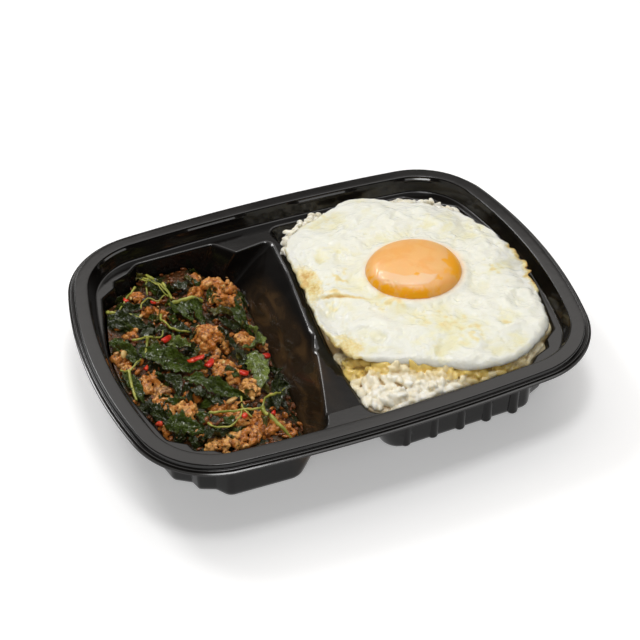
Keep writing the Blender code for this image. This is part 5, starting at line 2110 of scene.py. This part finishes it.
    def leaf_mesh(self, leaf: Leaf, seed: int) -> bmesh.types.BMesh:
        """A leaf: a sheet shaped, folded, crumpled and laid over the heap, then thickened.

        Args:
            leaf: What it is like.
            seed: Sets its own crumples.

        Returns:
            The leaf with its UV map and tint.
        """
        line = curve_through(leaf.line, 12, closed=False)
        length = sum((b.xy - a.xy).length for a, b in zip(line, line[1:]))
        columns, rows = 8 + int(1.3 * length), 6 + int(0.9 * leaf.width)
        bm = bmesh.new()
        bmesh.ops.create_grid(bm, x_segments=columns, y_segments=rows, size=0.5, calc_uvs=True)
        layer = bm.loops.layers.uv.verify()
        for face in bm.faces:
            for loop in face.loops:
                loop[layer].uv = (loop.vert.co.x + 0.5, loop.vert.co.y + 0.5)
        own = Vector((seed * 3.7, seed * 1.3, seed * 0.7))
        for vert in bm.verts:
            along, across = vert.co.x + 0.5, vert.co.y * 2
            at = along * (len(line) - 1)
            low = min(int(at), len(line) - 2)
            middle = line[low].lerp(line[low + 1], at - low)
            forward = (line[low + 1] - line[low]).xy.normalized()
            sideways = Vector((-forward.y, forward.x))
            half = leaf.width / 2 * max(0.03, math.sin(math.pi * min(1.0, along**0.82 + 0.02)) ** 0.75)
            half *= 1 + 0.10 * math.sin(along * length * 2.4 + seed) * abs(across)
            angle = leaf.roll + leaf.twist * (along - 0.5) * 2 + 0.5 * noise.noise(own + Vector((along * 2, 0, 0)))
            bend = leaf.fold * (1 + 0.8 * noise.noise(own + Vector((along * 2.5, 4, across))))
            out = half * across
            up = half * abs(across) * math.sin(bend)
            out *= math.cos(bend)
            wave = 0.24 * half * abs(across) ** 1.5 * math.sin(along * length * 0.7 + math.copysign(1.4, across) + seed)
            pucker = Vector((along * length / 3.4, out / 2.8, 0)) + own
            ridges = 2.4 * abs(noise.noise(pucker)) + 1.9 * abs(noise.noise(pucker * 2.3)) - 0.9
            quilt = math.sqrt(abs(math.sin(math.pi * (8 * along - 2.2 * abs(across))))) * (1 - across * across)
            up += wave + leaf.crumple * (1.4 * noise.noise(pucker / 2.2) - 1.5 * ridges) + 0.11 * half * quilt
            shift = out * math.cos(angle) - up * math.sin(angle)
            rise = out * math.sin(angle) + up * math.cos(angle)
            flat = middle.xy + sideways * shift + forward * 0.35 * leaf.crumple * noise.noise(pucker + own)
            flat, climb = self.held(flat)
            rib, _ = self.held(middle)
            floor = self.ground(flat)[0]
            height = mix(self.heap(rib), self.heap(flat), 0.6) * 0.5 + self.ground(rib)[0] * 0.5
            vert.co = (flat.x, flat.y, max(height + middle.z * 0.8 + rise, floor + 0.4) + climb)
        bmesh.ops.solidify(bm, geom=bm.faces, thickness=0.32)
        bmesh.ops.recalc_face_normals(bm, faces=bm.faces)
        tint = bm.verts.layers.float.new("tint")
        for vert in bm.verts:
            vert[tint] = leaf.tone.value
        return bm

    def scraps(self, count: int) -> list[Leaf]:
        """Small torn bits of leaf between the big ones."""
        draw = self.draw
        found = []
        while len(found) < count:
            x, y = draw.uniform(self.low.x, self.high.x), draw.uniform(self.low.y, self.high.y)
            turn, reach = draw.uniform(0, math.tau), draw.uniform(2.2, 4.0)
            step = Vector((math.cos(turn), math.sin(turn))) * reach
            ends = (Vector((x, y)) - step, Vector((x, y)) + step)
            if not all(self.inside(p) for p in ends):
                continue
            line = ((*ends[0], 0.9), (x, y, draw.uniform(1.4, 2.6)), (*ends[1], 0.9))
            tone = draw.choice((Tone.DARK, Tone.DARK, Tone.GREEN, Tone.GREEN, Tone.OLIVE))
            fold, roll = draw.uniform(0.4, 1.0), draw.uniform(-0.6, 0.6)
            found.append(Leaf(line, draw.uniform(3.5, 6.5), tone, fold, roll, draw.uniform(-1, 1), 0.9))
        return found

    def leaves(self) -> bmesh.types.BMesh:
        """All the leaves as one bmesh."""
        joined = bmesh.new()
        for seed, leaf in enumerate((*LEAVES, *self.scraps(self.scrap_count))):
            add_to(joined, self.leaf_mesh(leaf, seed))
        return joined

    def stems(self) -> bmesh.types.BMesh:
        """All the stems as one bmesh: tapering tubes with slight knuckles."""
        curve = bpy.data.curves.new("stems", "CURVE")
        curve.dimensions = "3D"
        curve.bevel_depth = 1.0
        curve.bevel_resolution = 3
        curve.use_fill_caps = True
        for which, stem in enumerate(STEMS):
            line = curve_through(stem.line, 10, closed=False)
            spline = curve.splines.new("POLY")
            spline.points.add(len(line) - 1)
            for i, point in enumerate(line):
                share = i / (len(line) - 1)
                flat, climb = self.held(point)
                height = self.ground(flat)[0] + point.z * 0.85 + climb
                spline.points[i].co = (flat.x, flat.y, height, 1)
                knuckle = 0.22 * hump(share - 0.02, 0.05) + 0.14 * hump(share - 0.55, 0.05)
                taper = mix(1.0, 0.74, share)
                wobble = 0.06 * math.sin(share * 17 + which)
                spline.points[i].radius = 0.88 * stem.radius * (taper + knuckle + wobble)
        holder = bpy.data.objects.new("stems", curve)
        bpy.context.scene.collection.objects.link(holder)
        graph = bpy.context.evaluated_depsgraph_get()
        mesh = bpy.data.meshes.new_from_object(holder.evaluated_get(graph))
        bm = bmesh.new()
        bm.from_mesh(mesh)
        bpy.data.curves.remove(curve)
        bpy.data.meshes.remove(mesh)
        bmesh.ops.remove_doubles(bm, verts=bm.verts, dist=0.001)
        bmesh.ops.recalc_face_normals(bm, faces=bm.faces)
        return bm

    def slice_shapes(self) -> list[bpy.types.Mesh]:
        """Bent slices of skin, one unit long, with rounded edges."""
        shapes = []
        for bend in (0.16, 0.26):
            bm = bmesh.new()
            bmesh.ops.create_cube(bm, size=1)
            rounding = {"offset": 0.3, "segments": 2, "profile": 0.5, "material": -1}
            upright = [e for e in bm.edges if abs(e.verts[0].co.z - e.verts[1].co.z) > 0.5]
            bmesh.ops.bevel(bm, geom=upright, affect="EDGES", **rounding)
            bmesh.ops.subdivide_edges(bm, edges=bm.edges, cuts=2, use_grid_fill=True)
            for vert in bm.verts:
                x, y, z = vert.co
                vert.co = (x * 1.0, y * 1.0, z * 0.16 - bend * (2 * y) ** 2 - 0.06 * (2 * x) ** 2 + 0.1)
            shapes.append(template_of(bm, "slice"))
        return shapes

    def laid(self, x: float, y: float, rise: float, size: Vector, turn: float) -> Matrix:
        """The place of a bit that lies on the heap, following its slope."""
        point = Vector((x, y))
        step = 1.5
        slope_x = self.heap(point + Vector((step, 0))) - self.heap(point - Vector((step, 0)))
        slope_y = self.heap(point + Vector((0, step))) - self.heap(point - Vector((0, step)))
        normal = Vector((-slope_x, -slope_y, 2 * step * 1.6)).normalized()
        return placed(Vector((x, y, self.ground(point)[0] + rise)), normal, turn, size)

    def chillies(self) -> bmesh.types.BMesh:
        """The slices of chilli."""
        places = []
        for x, y, rise, length, width, turn in CHILLIES:
            places.append((self.laid(x, y, rise, Vector((length, width, 5.0)), turn), 0.5))
        return copies_of(self.slice_shapes(), places, self.seed)

    def chips(self, count: int) -> bmesh.types.BMesh:
        """Garlic chips, and seeds scattered over the heap."""
        draw = self.draw
        places = []
        for x, y, rise, size, tint in CHIPS:
            scale = Vector((size, size * 0.7, size * 0.30))
            places.append((self.laid(x, y, rise, scale, draw.uniform(0, math.tau)), tint))
        while len(places) < count:
            point = Vector((draw.uniform(self.low.x, self.high.x), draw.uniform(self.low.y, self.high.y)))
            if self.inside(point):
                size = draw.uniform(0.9, 1.9)
                scale = Vector((size, size * 0.75, size * 0.35))
                turn = draw.uniform(0, math.tau)
                rise = self.heap(point) - self.ground(point)[0] + draw.uniform(0.6, 1.8)
                places.append((self.laid(point.x, point.y, rise, scale, turn), draw.random()))
        return copies_of(self.crumb_shapes(), places, self.seed)

    def build(self) -> None:
        """Makes the mass and everything on it."""
        mass = self.bed.skin(self.relief)
        self.surface = BVHTree.FromBMesh(mass)
        space = self.tray.space(self.tray.pork_cup)
        Piece("saucy_mass", self.slot, ("stir_fry",)).show(mass, SaucyBed().material())
        Piece("minced_pork", self.slot).show(kept_in(self.pork(), space), BrownedPork().material())
        Piece("basil_leaves", self.slot).show(kept_in(self.leaves(), space), WiltedBasil().material())
        Piece("basil_stems", self.slot).show(kept_in(self.stems(), space), YoungStem().material())
        Piece("chilli_slices", self.slot).show(self.chillies(), RedChilli().material())
        Piece("garlic_chips", self.slot).show(self.chips(64), FriedGarlic().material())


# ---------------------------------------------------------------------------------------------
# Studio
# ---------------------------------------------------------------------------------------------


@dataclass
class Studio:
    """A pale floor, soft lights and the camera."""

    azimuth: float = -22.42
    elevation: float = 41.49
    distance: float = 0.6243
    target: tuple[float, float, float] = (-0.00744, -0.01159, 0.035)
    lens: float = 80.54
    floor_size: float = 8.0
    bright_side: tuple[float, float, float] = (0.285, 0.690, 0.663)
    room_light: float = 1.75
    room_glow: tuple[tuple[float, float], ...] = ((0.30, 0.05), (0.66, 0.18), (0.80, 0.55), (0.88, 1.0), (1.0, 1.0))
    horizon: tuple[tuple[float, float], ...] = ((0.59, 0.20), (0.64, 1.0))
    flag_side: tuple[float, float, float] = (0.281, 0.726, 0.629)
    flag: tuple[tuple[float, float], ...] = ((0.9948, 1.0), (0.9975, 0.30))

    def build(self) -> None:
        """Sets the studio up round the meal."""
        scene = bpy.context.scene
        scene.view_settings.view_transform = "Standard"
        self.add_floor()
        self.add_world(scene)
        self.add_light("top softbox", (0.0, 0.0, 0.95), 0.22, 2.0)
        self.add_light("back left softbox", (-0.30, 0.70, 0.76), 0.24, 3.0)
        self.add_light("front fill", (-0.50, -1.15, 0.80), 1.3, 8.3, mirrored=False)
        self.add_light("overhead panel", (0.33, -0.05, 1.15), 0.8, 4.0, lights=False)
        self.add_light("low back strip", (-0.13, 0.93, 0.59), 0.16, 0.5, lights=False)
        self.add_camera(scene)

    def aimed(self, obj: bpy.types.Object, place: Vector, target: Vector) -> None:
        """Puts a light or a camera in its place, looking at a target."""
        obj.location = place
        obj.rotation_euler = (target - place).to_track_quat("-Z", "Y").to_euler()
        bpy.context.scene.collection.objects.link(obj)

    def add_floor(self) -> None:
        """Lays a matt white floor with a faint grain."""
        bm = bmesh.new()
        bmesh.ops.create_grid(bm, x_segments=1, y_segments=1, size=self.floor_size / 2)
        floor = scratch_object("floor", bm)
        paint = Paint("White floor")
        grain = paint.noise(40, detail=2)
        colour = paint.blend(grain, (0.90, 0.90, 0.90), (0.93, 0.93, 0.93))
        glow = {"Emission_Color": (1.0, 1.0, 1.0), "Emission_Strength": 0.25}
        floor.data.materials.append(paint.shade(Base_Color=colour, Roughness=0.9, **glow))

    def add_world(self, scene: bpy.types.Scene) -> None:
        """Surrounds the scene with soft white light."""
        world = bpy.data.worlds.new("Soft white room")
        world.use_nodes = True
        tree = world.node_tree
        direction = tree.nodes.new("ShaderNodeTexCoord").outputs["Generated"]
        layers = ((self.bright_side, self.room_glow), ((0, 0, 1), self.horizon), (self.flag_side, self.flag))
        glow = None
        for axis, stops in layers:
            facing = tree.nodes.new("ShaderNodeVectorMath")
            facing.operation = "DOT_PRODUCT"
            facing.inputs[1].default_value = axis
            tree.links.new(direction, facing.inputs[0])
            levels = tree.nodes.new("ShaderNodeValToRGB")
            levels.color_ramp.interpolation = "B_SPLINE" if len(stops) > 2 else "EASE"
            while len(levels.color_ramp.elements) < len(stops):
                levels.color_ramp.elements.new(1.0)
            for element, (position, level) in zip(levels.color_ramp.elements, stops):
                element.position = position
                element.color = (level, level * 0.99, level * 0.98, 1)
            tree.links.new(facing.outputs["Value"], levels.inputs[0])
            both = tree.nodes.new("ShaderNodeVectorMath")
            both.operation = "MULTIPLY"
            both.inputs[1].default_value = (1, 1, 1)
            tree.links.new(levels.outputs[0], both.inputs[0])
            if glow:
                tree.links.new(glow, both.inputs[1])
            glow = both.outputs[0]
        background = tree.nodes["Background"]
        background.inputs["Strength"].default_value = self.room_light
        tree.links.new(glow, background.inputs["Color"])
        scene.world = world

    def add_light(
        self,
        name: str,
        place: tuple[float, float, float],
        size: float,
        power: float,
        lights: bool = True,
        mirrored: bool = True,
    ) -> None:
        """Adds a square softbox aimed at the meal.

        Args:
            name: The light's name.
            place: Where it is.
            size: Its side in metres.
            power: Its power in watts.
            lights: Whether it lights matt surfaces.
            mirrored: Whether glossy surfaces show it.
        """
        light = bpy.data.lights.new(name, "AREA")
        light.size = size
        light.energy = power
        holder = bpy.data.objects.new(name, light)
        holder.visible_diffuse = lights
        holder.visible_glossy = mirrored
        self.aimed(holder, Vector(place), Vector((0, 0, 0.03)))

    def add_camera(self, scene: bpy.types.Scene) -> None:
        """Adds the camera, front left of the meal and above it."""
        turn, rise = math.radians(self.azimuth), math.radians(self.elevation)
        back = Vector((math.sin(turn) * math.cos(rise), -math.cos(turn) * math.cos(rise), math.sin(rise)))
        target = Vector(self.target)
        data = bpy.data.cameras.new("Camera")
        data.lens = self.lens
        data.clip_start = 0.01
        camera = bpy.data.objects.new("Camera", data)
        self.aimed(camera, target + back * self.distance, target)
        scene.camera = camera


def main() -> None:
    """Builds the meal piece by piece."""
    logging.basicConfig(level=logging.INFO, format="%(message)s")
    Studio().build()
    tray = Tray()
    tray.build()
    white = EggWhite()
    Rice(tray, white).build()
    white.build()
    Yolk().build()
    StirFry(tray).build()


if __name__ == "__main__":
    main()
